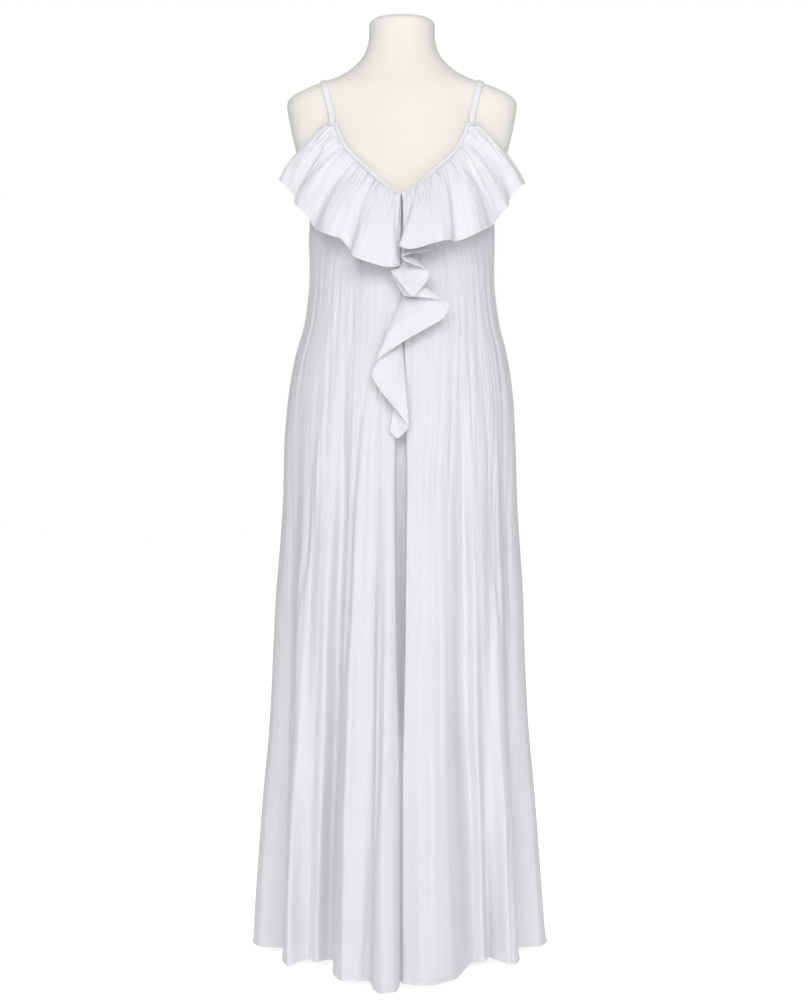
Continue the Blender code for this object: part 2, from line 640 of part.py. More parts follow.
def build_flounce(dress, name, folds):
    """The flounce hangs from the neck seam in curved lines, gathered there and fluted at its free edge."""
    edge = smooth_path([(fold.x, -fold.depth, fold.height) for fold in folds], FLOUNCE_STEPS)
    angles = even_steps([fold.angle for fold in folds], FLOUNCE_STEPS)
    lift = FLOUNCE_LIFT + RUFFLE_WALL / 2
    sewn = [dress.below_band(angle) for angle in angles]
    normals = np.array([normal for _, normal in sewn])
    seam = np.array([point for point, _ in sewn]) + normals * lift
    outward = unit(edge * (1, 1, 0))
    spacing = np.linalg.norm(np.gradient(seam, axis=0), axis=-1) * FLOUNCE_STEPS
    place = np.arange(len(seam)) / FLOUNCE_STEPS
    gather = np.minimum(spacing * GATHER_SLOPE, GATHER_HEIGHT) * (1 - np.cos(2 * np.pi * place)) / 2
    rows = [seam]
    for share in FLOUNCE_ROWS[1:]:
        row = seam + (edge - seam) * share + outward * FLOUNCE_BOW * 4 * share * (1 - share)
        gathered = gather * (1 - share)**2
        row += outward * gathered[:, None]
        rows.append(keep_clear(row, lift + 0.0008 + 0.004 * share + gathered, 0.0006 + 0.006 * share))
    build_ruffle(name, rows, normals)


def build_cascade(dress):
    """The cascade is ruled from the centre seam to its free edge, which turns back and forth as it falls."""
    edge = smooth_path([(fold.x, -fold.depth, fold.height) for fold in CASCADE_FOLDS], CASCADE_STEPS)
    height = even_steps([fold.seam for fold in CASCADE_FOLDS], CASCADE_STEPS)
    centre = dress.grid[:, dress.centre_seam]
    lift = SEAM_GAP + RUFFLE_WALL / 2
    seam = np.full((len(height), 3), SEAM_X)
    seam[:, 1] = np.interp(height, centre[:, 2], centre[:, 1]) - lift
    seam[:, 2] = height
    root = seam + (edge - seam) * (CASCADE_ROOT, CASCADE_ROOT, 0)
    rows = [seam]
    for share in CASCADE_ROWS:
        row = root + (edge - root) * share
        row[:, 1] -= CASCADE_BOW * 4 * share * (1 - share)
        rows.append(keep_clear(row, lift + 0.0004 + 0.003 * share, 0.0004 + 0.004 * share))
    build_ruffle("cascade", rows, sheet_normals(np.array(rows))[0])


# The straps

def form_distance(point):
    """How far a point lies outside the form, measured level."""
    angle = math.atan2(point[0], -point[1])
    return math.hypot(point[0], point[1]) - float(form_radius(angle, point[2]))


def form_slope(point):
    """Change of the distance from the form along each axis."""
    step = 0.003
    slope = []
    for axis in range(3):
        shift = np.zeros(3)
        shift[axis] = step
        slope.append((form_distance(point + shift) - form_distance(point - shift)) / (2 * step))
    return np.array(slope)


def lay_on_form(point, clearance):
    """Move a point square to the form's surface until it stands off it by the clearance."""
    for _ in range(6):
        slope = form_slope(point)
        steepness = np.linalg.norm(slope)
        point = point + (clearance - form_distance(point) / steepness) * slope / steepness
    return point


def build_strap(dress, name, side):
    """A flat band over the shoulder, a hair's breadth clear of the form, from top edge to top edge."""
    path = smooth_path([(point.x, -point.depth, point.height) for point in STRAP_PATH], STRAP_STEPS)
    clearance = even_steps([point.clearance for point in STRAP_PATH], STRAP_STEPS)
    centre = np.array([lay_on_form(point, gap) for point, gap in zip(path, clearance)])
    along = unit(np.gradient(centre, axis=0))
    out = unit(np.array([form_slope(point) for point in centre]))
    across = unit(np.cross(along, out)) * STRAP_WIDTH / 2
    edges = []
    for row in (centre - across, centre + across):
        edges.append([lay_on_form(point, gap) for point, gap in zip(row, clearance)])
    inner = np.array(edges)
    for row, (inside, outside) in ((0, STRAP_FRONT), (-1, STRAP_BACK)):
        for edge, degrees in enumerate((inside, outside)):
            top, out[row] = dress.top_edge(degrees)
            inner[edge, row] = top + (0, 0, SEAM_GAP)
    outer = inner + out * STRAP_WALL
    wall_between(name, outer * (side, 1, 1), inner * (side, 1, 1), CLOTH)


# The dress form and its stand

def turned_rings(name, rings, finish):
    """A solid through a stack of rings of points, bottom first, closed flat at both ends."""
    sides = len(rings[0])
    faces = [list(range(sides))[::-1]]
    for ring in range(len(rings) - 1):
        for place in range(sides):
            following = (place + 1) % sides
            low = ring * sides
            high = low + sides
            faces.append([low + place, low + following, high + following, high + place])
    faces.append([(len(rings) - 1) * sides + place for place in range(sides)])
    make_solid(name, np.vstack(rings), faces, finish)


def build_torso():
    angles = np.linspace(0, 2 * np.pi, FORM_COLUMNS, endpoint=False)
    rings = []
    for section in reversed(FORM_SECTIONS):
        heights = np.full(FORM_COLUMNS, section.height)
        rings.append(np.column_stack([on_circle(angles, form_radius(angles, heights)), heights]))
    turned_rings("form_torso", rings, FORM_SKIN)


def turned_solid(name, profile, sides, finish):
    """A round solid from a profile of (radius, height) points, bottom first."""
    angles = np.linspace(0, 2 * np.pi, sides, endpoint=False)
    rings = []
    for radius, height in profile:
        rings.append(np.column_stack([on_circle(angles, np.full(sides, radius)), np.full(sides, height)]))
    turned_rings(name, rings, finish)


def build_stand():
    collar_top = BASE_THICKNESS + COLLAR_HEIGHT
    turned_solid("form_base", [
        (BASE_RADIUS - BASE_CHAMFER, 0.0),
        (BASE_RADIUS, BASE_CHAMFER),
        (BASE_RADIUS, BASE_THICKNESS - BASE_CHAMFER),
        (BASE_RADIUS - BASE_CHAMFER, BASE_THICKNESS),
        (COLLAR_RADIUS, BASE_THICKNESS),
        (COLLAR_RADIUS - BASE_CHAMFER, collar_top),
    ], 40, STEEL)
    head = FORM_SECTIONS[-1].height - SEAM_GAP
    turned_solid("form_pole", [(POLE_RADIUS, collar_top + SEAM_GAP), (POLE_RADIUS, head)], 20, STEEL)


def main():
    clear_scene()
    build_torso()
    build_stand()
    dress = Dress()
    build_panel(dress, "dress_front_left", 0, dress.centre_seam)
    build_panel(dress, "dress_front_right", dress.centre_seam, dress.right_seam)
    build_panel(dress, "dress_back", dress.right_seam, dress.last)
    left_strap = round(sum(dress.column(-STRAP_FRONT[1])))
    right_strap = round(sum(dress.column(STRAP_FRONT[1])))
    build_binding(dress, "neck_binding_left", left_strap, dress.centre_seam)
    build_binding(dress, "neck_binding_right", dress.centre_seam, right_strap)
    build_flounce(dress, "flounce_left", FLOUNCE_LEFT)
    build_flounce(dress, "flounce_right", FLOUNCE_RIGHT)
    build_cascade(dress)
    build_strap(dress, "strap_left", -1)
    build_strap(dress, "strap_right", 1)


main()
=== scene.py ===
# A strappy, finely crinkled maxi dress with a gathered neck flounce and a waterfall cascade, on a limbless dress form
# Metres, +Z up, the front faces -Y. Depth is the distance in front of the form's upright axis, so y = -depth
# Angles go round the body in degrees: 0 is the centre front, 90 the +X side, 180 the centre back
import bpy
import numpy as np
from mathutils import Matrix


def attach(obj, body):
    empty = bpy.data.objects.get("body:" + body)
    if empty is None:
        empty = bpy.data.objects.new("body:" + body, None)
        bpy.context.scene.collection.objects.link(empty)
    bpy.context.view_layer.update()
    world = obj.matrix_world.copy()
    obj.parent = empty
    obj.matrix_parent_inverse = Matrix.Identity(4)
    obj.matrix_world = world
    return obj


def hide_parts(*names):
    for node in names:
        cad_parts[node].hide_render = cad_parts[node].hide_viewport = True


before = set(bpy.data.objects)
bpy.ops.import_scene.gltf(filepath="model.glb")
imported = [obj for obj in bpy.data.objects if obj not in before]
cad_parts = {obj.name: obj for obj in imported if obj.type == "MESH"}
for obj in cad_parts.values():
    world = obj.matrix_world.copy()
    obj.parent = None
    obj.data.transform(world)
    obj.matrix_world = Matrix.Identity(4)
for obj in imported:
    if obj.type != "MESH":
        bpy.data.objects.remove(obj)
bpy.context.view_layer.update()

studio = {
    "cameraAt": (0.005, -3.0, 0.7394),
    "lens": 65.06,
    "surround": 0.22,           # strength of the even light from all round
    "softboxes": {              # place, aim, width and height, power
        "keySoftbox": ((-0.85, -3.3, 2.5), (0, 0, 1.15), (1.3, 2.2), 42.0),
        "fillSoftbox": ((0.95, -3.3, 2.5), (0, 0, 1.15), (1.3, 2.2), 43.0),
        "topSoftbox": ((0, -0.6, 3.4), (0, 0, 0.9), (2.2, 1.6), 8.0),
        "backSoftbox": ((0.7, 3.4, 2.3), (0, 0, 1.0), (1.3, 2.2), 30.0),
    },
    "floorColours": ((0.95, 0.95, 0.947, 1), (0.95, 0.95, 0.945, 1)),
    "floorRings": 24,
    "floorSpokes": 65,
    "floorReach": 60.0,
    "floorGlow": 0.79,          # keeps the far floor as pale as the surround
    "floorBounce": 0.42,        # what of it lights the dress
}

# Numbers between numbers

def unitOf(vectors):
    return vectors / np.maximum(np.linalg.norm(vectors, axis=-1, keepdims=True), 1e-12)

def smoothStep(value):
    value = np.clip(value, 0, 1)
    return value * value * (3 - 2 * value)

# a cubic curve through the rows of a table that never overshoots them: the slope at a row is the harmonic mean of
# the straight slopes on its two sides, or level where they turn. The first column is the key
def smoothTable(rows, where):
    table = np.array(sorted(rows))
    keys, values = table[:, 0], table[:, 1:]
    rise = np.diff(values, axis=0) / np.diff(keys)[:, None]
    same = rise[:-1] * rise[1:] > 0
    middle = np.where(same, 2 * rise[:-1] * rise[1:] / np.where(same, rise[:-1] + rise[1:], 1), 0)
    slope = np.vstack([rise[:1], middle, rise[-1:]])
    where = np.clip(np.asarray(where, dtype=float), keys[0], keys[-1])
    k = np.clip(np.searchsorted(keys, where) - 1, 0, len(keys) - 2)
    step = (keys[k + 1] - keys[k])[..., None]
    t = (where - keys[k])[..., None] / step
    return ((2 * t**3 - 3 * t**2 + 1) * values[k] + (t**3 - 2 * t**2 + t) * step * slope[k]
            + (3 * t**2 - 2 * t**3) * values[k + 1] + (t**3 - t**2) * step * slope[k + 1])

# a cubic curve through points, read at places counted in points: at each point it runs halfway between its two
# chords, as long as the chord it leaves or meets. An ease below 1 makes straighter runs and tighter turns
def throughPoints(points, places, closed=False, ease=1.0):
    ways = unitOf(np.diff(points, axis=-2))
    first, last = ways[..., :1, :], ways[..., -1:, :]
    if closed:
        first = last = first + last
    bends = unitOf(np.concatenate([first, ways[..., :-1, :] + ways[..., 1:, :], last], axis=-2))
    k = np.minimum(places.astype(int), points.shape[-2] - 2)
    t = (places - k)[:, None]
    start, end = points[..., k, :], points[..., k + 1, :]
    pull = ease * np.linalg.norm(end - start, axis=-1, keepdims=True)
    return ((2 * t**3 - 3 * t**2 + 1) * start + (t**3 - 2 * t**2 + t) * pull * bends[..., k, :]
            + (3 * t**2 - 2 * t**3) * end + (t**3 - t**2) * pull * bends[..., k + 1, :])

# a curve with a set number of steps from row to row of a table: its places counted in rows, the first column
# interpolated along it, and its points from the other columns, which are x, height and depth
def tableCurve(rows, steps, ease=1.0):
    table = np.array(rows, dtype=float)
    places = np.linspace(0, len(table) - 1, (len(table) - 1) * steps + 1)
    value = np.interp(places, np.arange(len(table)), table[:, 0])
    points = np.stack([table[:, 1], -table[:, 3], table[:, 2]], axis=-1)
    return places, value, throughPoints(points, places, ease=ease)

# soft seeded noise between -1 and 1: a grid of random numbers, one for each whole step, joined by eased steps
def softNoise(seed, across, along):
    grid = np.random.default_rng(seed).uniform(-1, 1, (256, 256))
    i, j = np.floor(across).astype(int), np.floor(along).astype(int)
    u, v = smoothStep(across - i), smoothStep(along - j)
    i, j = i % 256, j % 256
    k, l = (i + 1) % 256, (j + 1) % 256
    return (grid[i, j] * (1 - u) + grid[k, j] * u) * (1 - v) + (grid[i, l] * (1 - u) + grid[k, l] * u) * v

# The dress form's and the dress's main shapes

formShape = {
    "stumpSpread": 18.0,
    "columns": 144,
    "rowStep": 0.0045,
    "sections": [   # height, half width, how far the arm stump widens it, front, back
        (1.541, 0.033, 0, 0.02, 0.042), (1.537, 0.045, 0, 0.034, 0.054), (1.528, 0.054, 0, 0.044, 0.064),
        (1.508, 0.054, 0, 0.046, 0.066), (1.488, 0.058, 0, 0.047, 0.067), (1.474, 0.065, 0, 0.048, 0.068),
        (1.462, 0.075, 0, 0.05, 0.069), (1.446, 0.096, 0, 0.054, 0.071), (1.437, 0.115, 0, 0.056, 0.073),
        (1.429, 0.138, 0, 0.059, 0.075), (1.421, 0.157, 0.002, 0.062, 0.077), (1.412, 0.165, 0.012, 0.065, 0.079),
        (1.403, 0.165, 0.022, 0.068, 0.081), (1.388, 0.161, 0.028, 0.072, 0.084), (1.35, 0.152, 0.03, 0.08, 0.088),
        (1.32, 0.147, 0.028, 0.087, 0.09), (1.298, 0.145, 0.026, 0.09, 0.091), (1.286, 0.144, 0.019, 0.091, 0.092),
        (1.278, 0.144, 0.009, 0.092, 0.092), (1.27, 0.144, 0, 0.093, 0.092), (1.235, 0.144, 0, 0.099, 0.092),
        (1.2, 0.146, 0, 0.112, 0.092), (1.17, 0.147, 0, 0.121, 0.092), (1.14, 0.146, 0, 0.12, 0.09),
        (1.095, 0.137, 0, 0.108, 0.084), (1.02, 0.12, 0, 0.092, 0.08), (0.95, 0.133, 0, 0.099, 0.094),
        (0.87, 0.155, 0, 0.106, 0.11), (0.8, 0.163, 0, 0.106, 0.112), (0.725, 0.158, 0, 0.098, 0.103),
        (0.7, 0.148, 0, 0.088, 0.093),
    ],
}

dressShape = {
    "hemHeight": 0.010,
    "looseHeight": 1.110,
    "bodiceHeight": 1.170,
    "ease": 0.0060,             # room between the form and the bodice
    "wall": 0.0009,
    "fluteGrowth": 1.35,
    "foldEase": 0.62,           # below 1 the ridges and hollows are crisper
    "columns": (330, 330, 330),  # front left, front right, back
    "rowStep": 0.0105,
    "centreFoldX": -0.0015,
    "centreFold": [
        (0.01, 0.0052, 0.005), (0.25, 0.006, 0.006), (0.34, 0.0075, 0.009), (0.43, 0.0115, 0.0215),
        (0.52, 0.015, 0.026), (0.62, 0.0175, 0.0285), (0.69, 0.0195, 0.027), (0.78, 0.021, 0.02),
        (0.86, 0.019, 0.015), (0.94, 0.014, 0.008), (1.02, 0.012, 0),
    ],
    "flank": [(0.76, 0.5), (0.52, 1.0)],    # across the fold's side: share of its half width, share of its depth
    "sections": [   # height, sideways place of the middle, half width, front, back
        (0.01, -0.004, 0.2435, 0.245, 0.24), (0.117, -0.005, 0.236, 0.236, 0.23),
        (0.249, -0.005, 0.226, 0.222, 0.216), (0.381, -0.005, 0.214, 0.206, 0.2),
        (0.48, -0.005, 0.2085, 0.194, 0.186), (0.579, -0.004, 0.2045, 0.182, 0.172),
        (0.678, -0.003, 0.197, 0.17, 0.158), (0.744, -0.003, 0.193, 0.162, 0.15),
        (0.843, -0.003, 0.19, 0.152, 0.139), (0.909, -0.002, 0.1855, 0.147, 0.13),
        (0.975, -0.001, 0.1755, 0.142, 0.118), (1.041, 0, 0.159, 0.137, 0.107), (1.11, 0, 0.152, 0.134, 0.101),
        (1.17, 0, 0.152, 0.127, 0.097),
    ],
    # ridges and hollows of the skirt: angle on the bodice, then x and depth at the hem, and the height it starts at
    "leftFolds": [
        (-90, -0.247, -0.014, 0.88), (-82, -0.234, 0.01, 0.88), (-75, -0.218, 0.014, 0.88),
        (-70, -0.204, 0.015, 0.9), (-66, -0.1925, 0.02, 0.92), (-61, -0.184, 0.04, 0.96), (-54, -0.19, 0.108, 0.96),
        (-49, -0.18, 0.131, 0.96), (-44, -0.164, 0.11, 0.82), (-39, -0.151, 0.094, 0.68), (-34, -0.135, 0.113, 0.68),
        (-28, -0.1165, 0.094, 1.03), (-24, -0.106, 0.18, 1.03), (-20, -0.095, 0.221, 0.98),
        (-15, -0.066, 0.229, 0.93), (-11, -0.049, 0.228, 0.93), (-8.5, -0.043, 0.276, 0.9), (-6, -0.027, 0.3, 0.9),
        (-4, -0.011, 0.292, 0.9), (-3, -0.0015, 0.266, 0.93),
    ],
    "rightFolds": [
        (3, -0.0015, 0.238, 0.93), (5, 0.012, 0.244, 0.93), (9, 0.03, 0.256, 0.93), (14, 0.052, 0.247, 0.93),
        (20, 0.078, 0.223, 0.93), (24, 0.093, 0.186, 0.93), (28, 0.103, 0.14, 0.96), (32, 0.115, 0.11, 0.96),
        (36, 0.129, 0.117, 0.7), (41, 0.139, 0.084, 0.7), (46, 0.154, 0.103, 0.82), (51, 0.173, 0.127, 0.96),
        (55, 0.185, 0.108, 0.96), (61, 0.182, 0.036, 0.96), (66, 0.189, 0.016, 0.92), (70, 0.199, 0.013, 0.9),
        (75, 0.212, 0.012, 0.88), (82, 0.227, 0.008, 0.88), (90, 0.239, -0.018, 0.88),
    ],
    "backFolds": [
        (101, 0.23, -0.068, 0.9), (108, 0.211, -0.094, 0.9), (115, 0.166, -0.09, 0.96), (122, 0.18, -0.146, 0.96),
        (129, 0.166, -0.174, 0.93), (137, 0.136, -0.176, 0.93), (145, 0.106, -0.14, 0.98),
        (151, 0.104, -0.204, 0.98), (159, 0.082, -0.236, 0.93), (167, 0.048, -0.23, 0.93),
        (175, 0.022, -0.176, 0.96), (181, -0.002, -0.222, 0.96), (189, -0.03, -0.242, 0.93),
        (197, -0.063, -0.228, 0.93), (205, -0.081, -0.168, 0.98), (212, -0.114, -0.196, 0.98),
        (221, -0.143, -0.194, 0.93), (230, -0.166, -0.164, 0.93), (239, -0.162, -0.104, 0.96),
        (249, -0.206, -0.112, 0.93), (259, -0.235, -0.07, 0.9), (270, -0.247, -0.014, 0.88),
    ],
    "neckEdge": [   # distance from the middle, height
        (0, 1.2356), (0.01, 1.2385), (0.032, 1.2557), (0.061, 1.284), (0.085, 1.3085), (0.097, 1.3305),
        (0.106, 1.354),
    ],
    "armholeEdge": [   # angle, height
        (61, 1.354), (66, 1.354), (70, 1.324), (75, 1.294), (82, 1.266), (90, 1.252), (120, 1.25), (180, 1.258),
    ],
    "neckEnd": 61,
}

# an oval with one depth in front and another behind, as a distance from the axis at an angle in radians
def ovalRadius(angle, halfWidth, front, back):
    reach = np.where(np.cos(angle) > 0, front, back)
    return 1 / np.sqrt((np.sin(angle) / halfWidth)**2 + (np.cos(angle) / reach)**2)

# the form: its oval, widened at each side by a flat-topped bell for the arm stump
def formRadius(angle, height):
    halfWidth, stump, front, back = np.moveaxis(smoothTable(formShape["sections"], height), -1, 0)
    fromSide = np.degrees(np.arccos(np.clip(np.abs(np.sin(angle)), 0, 1)))
    return ovalRadius(angle, halfWidth, front, back) + stump * np.exp(-(fromSide / formShape["stumpSpread"])**4)

# a point of the dress without its flutes: an oval below the bust, the form's shape plus the ease above it
def dressPoint(angle, height):
    centre, halfWidth, front, back = np.moveaxis(smoothTable(dressShape["sections"], height), -1, 0)
    reach = np.where(np.cos(angle) > 0, front, back)
    radius = formRadius(angle, height) + dressShape["ease"]
    rise = dressShape["bodiceHeight"] - dressShape["looseHeight"]
    share = smoothStep((height - dressShape["looseHeight"]) / rise)
    x = (centre + halfWidth * np.sin(angle)) * (1 - share) + radius * np.sin(angle) * share
    y = -reach * np.cos(angle) * (1 - share) - radius * np.cos(angle) * share
    return np.stack([x, y], axis=-1)

# height of the top edge at an angle in degrees: by distance from the middle on the V, by angle from the strap on
def topHeight(degrees):
    turn = np.abs((np.asarray(degrees, dtype=float) + 180) % 360 - 180)
    height = np.full(turn.shape, dressShape["bodiceHeight"])
    for _ in range(12):
        side = (formRadius(np.radians(turn), height) + dressShape["ease"]) * np.sin(np.radians(turn))
        height = smoothTable(dressShape["neckEdge"], side)[..., 0]
    return np.where(turn < dressShape["neckEnd"], height, smoothTable(dressShape["armholeEdge"], turn)[..., 0])

def bodicePoint(degrees, height):
    angle = np.radians(degrees)
    radius = formRadius(angle, height) + dressShape["ease"]
    return np.stack([radius * np.sin(angle), -radius * np.cos(angle), height + 0 * radius], axis=-1)

# outward normal of the bodice, from points a little to each side and above and below
def bodiceNormal(degrees, height):
    across = bodicePoint(degrees + 0.4, height) - bodicePoint(degrees - 0.4, height)
    up = bodicePoint(degrees, height + 0.001) - bodicePoint(degrees, height - 0.001)
    return unitOf(np.cross(across, up))

# how much longer a step along the top edge is than its level part
def edgeSlant(degrees):
    before, after = degrees - 0.4, degrees + 0.4
    step = bodicePoint(after, topHeight(after)) - bodicePoint(before, topHeight(before))
    return np.minimum(np.linalg.norm(step, axis=-1) / np.hypot(step[..., 0], step[..., 1]), 2.0)

# moves points outwards until they stand off the dress and the form by the lift, rounded where they meet it
def keepClear(points, lift, softness):
    angle = np.arctan2(points[..., 0], -points[..., 1])
    distance = np.hypot(points[..., 0], points[..., 1])
    dress = np.linalg.norm(dressPoint(angle, points[..., 2]), axis=-1)
    floor = np.maximum(dress, formRadius(angle, points[..., 2]) + dressShape["ease"]) + lift
    clear = 0.5 * (distance + floor + np.sqrt((distance - floor)**2 + softness**2))
    stretch = clear / np.maximum(distance, 1e-6)
    return points * np.stack([stretch, stretch, np.ones_like(stretch)], axis=-1)

def sheetNormals(grid):
    return unitOf(np.cross(np.gradient(grid, axis=1), np.gradient(grid, axis=0)))

def runAlong(grid, axis):   # length along rows or columns, from the first one
    step = np.linalg.norm(np.diff(grid, axis=axis), axis=-1)
    start = np.zeros_like(np.take(step, [0], axis=axis))
    return np.concatenate([start, np.cumsum(step, axis=axis)], axis=axis)

# Materials

# one shader node: settings are its own properties, and the rest are its sockets by name, or by number as i0, i1 and
# so on. A value that is another node's output is linked
def addNode(tree, kind, settings=None, **sockets):
    node = tree.nodes.new("ShaderNode" + kind)
    for key, value in (settings or {}).items():
        setattr(node, key, value)
    for key, value in sockets.items():
        socket = node.inputs[int(key[1:])] if key[0] == "i" and key[1:].isdigit() else node.inputs[key]
        if isinstance(value, bpy.types.NodeSocket):
            tree.links.new(value, socket)
        else:
            socket.default_value = value
    return node

def mathOf(tree, operation, *values, kind="Math"):
    sockets = {f"i{number}": value for number, value in enumerate(values)}
    return addNode(tree, kind, {"operation": operation}, **sockets).outputs[0]

def vectorOf(tree, operation, *values):
    return mathOf(tree, operation, *values, kind="VectorMath")

def drawnOut(tree, place, scale):
    return addNode(tree, "Mapping", None, Vector=place, Scale=scale).outputs[0]

def noiseOf(tree, place, scale, detail, **more):
    return addNode(tree, "TexNoise", None, Vector=place, Scale=scale, Detail=detail, **more).outputs["Fac"]

def waveOf(tree, place, scale, direction, **more):
    return addNode(tree, "TexWave", {"bands_direction": direction}, Vector=place, Scale=scale, **more).outputs["Fac"]

def ranged(tree, value, low, high, first, last, kind="LINEAR"):
    sockets = {"Value": value, "i1": low, "i2": high, "i3": first, "i4": last}
    return addNode(tree, "MapRange", {"interpolation_type": kind}, **sockets).outputs[0]

def blended(tree, share, first, second, blend="MIX"):
    settings = {"data_type": "RGBA", "blend_type": blend}
    return addNode(tree, "Mix", settings, i0=share, i6=first, i7=second).outputs[2]

def bumped(tree, height, strength, distance, **under):
    return addNode(tree, "Bump", None, Height=height, Strength=strength, Distance=distance, **under).outputs[0]

def attributeOf(tree, name):
    return addNode(tree, "Attribute", {"attribute_name": name}).outputs["Fac"]

def newMaterial(name):
    material = bpy.data.materials.new(name)
    material.use_nodes = True
    return material, material.node_tree, material.node_tree.nodes["Principled BSDF"]

# links what varies over the surface to the shader, and sets what is the same all over
def finishShader(tree, shader, linked, fixed):
    for socket, value in linked.items():
        tree.links.new(value, shader.inputs[socket])
    for socket, value in fixed.items():
        shader.inputs[socket].default_value = value

cottonLook = {
    "colour": (0.845, 0.832, 0.866),
    # painted shade laid into the troughs of the crush pleats
    "creaseShadeColour": (0.806, 0.792, 0.828),
    # painted shade along the sunk stitch line
    "stitchShadeColour": (0.55, 0.55, 0.6),
    "crushWidth": 0.0030,       # of the finest crush pleats
    "crushLength": 0.075,
    "crushDepth": 0.00096,
    "crushShare": 1.0,          # below 1 for a smoother cloth
    "weave": 0.0008,
    "stitch": 0.0028,
    "stitchInset": 0.0062,
    "roughness": (0.92, 0.78),
}

# fine crinkled cotton: crush pleats drawn out along the cloth's length, a plain weave, and a row of machine stitches
# a little in from each edge. "cloth" is the piece's own map in metres, edgeGap and edgeRun its places from the edge
def cottonMaterial(name, look):
    material, tree, shader = newMaterial(name)
    place = addNode(tree, "UVMap", {"uv_map": "cloth"}).outputs[0]

    # long noise that sways sideways, folded back on itself into sharp pleats, on top of broader soft ones
    sway = noiseOf(tree, drawnOut(tree, place, (18, 6, 1)), 1.0, 1.0)
    shift = addNode(tree, "CombineXYZ", None, X=sway).outputs[0]
    drawn = drawnOut(tree, place, (1 / look["crushWidth"], 1 / look["crushLength"], 1))
    swayed = vectorOf(tree, "MULTIPLY_ADD", shift, (5, 0, 0), drawn)
    crush = noiseOf(tree, swayed, 1.0, 2.5, Roughness=0.55)
    broad = noiseOf(tree, vectorOf(tree, "MULTIPLY", swayed, (0.37, 0.55, 1)), 1.0, 1.5)
    folded = mathOf(tree, "PINGPONG", mathOf(tree, "MULTIPLY", crush, 2.2), 0.5)
    crushed = attributeOf(tree, "crush")
    height = mathOf(tree, "MULTIPLY", mathOf(tree, "MULTIPLY_ADD", broad, 1.3, folded), crushed)
    normal = bumped(tree, height, 0.62 * look["crushShare"], look["crushDepth"])

    # the weave: threads one way times threads the other way
    ways = ((1 / look["weave"], 0, 1), (0, 1 / look["weave"], 1))
    threads = [waveOf(tree, drawnOut(tree, place, way), 0.55, "DIAGONAL", Distortion=0.6) for way in ways]
    normal = bumped(tree, mathOf(tree, "MULTIPLY", *threads), 0.25, 0.00006, Normal=normal)

    # the stitches: a sunk line at the inset, with dashes raised along it
    fromLine = mathOf(tree, "ABSOLUTE", mathOf(tree, "SUBTRACT", attributeOf(tree, "edgeGap"), look["stitchInset"]))
    line = ranged(tree, fromLine, 0.0002, 0.0007, 1.0, 0.0, "SMOOTHSTEP")
    beat = mathOf(tree, "PINGPONG", attributeOf(tree, "edgeRun"), look["stitch"] / 2)
    dash = ranged(tree, beat, look["stitch"] * 0.12, look["stitch"] * 0.24, 0.0, 1.0, "SMOOTHSTEP")
    lifted = mathOf(tree, "SUBTRACT", mathOf(tree, "MULTIPLY", line, dash), mathOf(tree, "MULTIPLY", line, 0.6))
    normal = bumped(tree, lifted, 0.6, 0.00022, Normal=normal)

    # painted shade: a slightly deeper tone in the troughs of the creases and along the sunk stitches, and faint
    # uneven patches of tone
    creaseShade = mathOf(tree, "MULTIPLY", mathOf(tree, "SUBTRACT", 1.1, mathOf(tree, "ADD", folded, broad)), crushed)
    tone = ranged(tree, creaseShade, 0.05, 0.65, 1.0, 0.0)
    colour = blended(tree, tone, (*look["creaseShadeColour"], 1), (*look["colour"], 1))
    patch = noiseOf(tree, place, 7.0, 3.0)
    grey = addNode(tree, "CombineColor", None, Red=patch, Green=patch, Blue=patch).outputs[0]
    colour = blended(tree, 0.10, colour, grey, "MULTIPLY")
    # painted shade: the sunk groove of the stitch line darkened in the colour
    colour = blended(tree, mathOf(tree, "MULTIPLY", line, 0.07), colour, (*look["stitchShadeColour"], 1), "MULTIPLY")

    rough = ranged(tree, crush, 0.3, 0.7, *look["roughness"])
    finishShader(tree, shader, {"Base Color": colour, "Roughness": rough, "Normal": normal},
                 {"Sheen Weight": 0.04, "Sheen Roughness": 0.45, "Specular IOR Level": 0.12})
    return material

formLook = {"colour": (0.800, 0.785, 0.735), "shadeColour": (0.770, 0.755, 0.705), "knit": 0.0011}

# cream jersey stretched over the form: a fine knit of ribs crossed by rows, and a faint unevenness of tone
def jerseyMaterial(name, look):
    material, tree, shader = newMaterial(name)
    place = addNode(tree, "TexCoord").outputs["Object"]
    stitch = 1 / look["knit"]
    ribs = noiseOf(tree, drawnOut(tree, place, (stitch, stitch, 0.45 * stitch)), 1.0, 1.0)
    rows = waveOf(tree, place, 0.31 * stitch, "Z", Distortion=1.2, Detail=1.0)
    knit = bumped(tree, mathOf(tree, "MULTIPLY_ADD", rows, 0.5, ribs), 0.22, 0.00012)
    swell = noiseOf(tree, place, 9.0, 2.0)
    tone = ranged(tree, swell, 0.35, 0.65, 0.25, 1.0)
    colour = blended(tree, tone, (*look["shadeColour"], 1), (*look["colour"], 1))
    rough = ranged(tree, ribs, 0.3, 0.7, 0.82, 0.66)
    normal = bumped(tree, swell, 0.15, 0.002, Normal=knit)
    finishShader(tree, shader, {"Base Color": colour, "Roughness": rough, "Normal": normal},
                 {"Specular IOR Level": 0.10})
    return material

steelLook = {"colour": (0.60, 0.60, 0.61), "wornColour": (0.72, 0.72, 0.73), "brushing": 900.0}

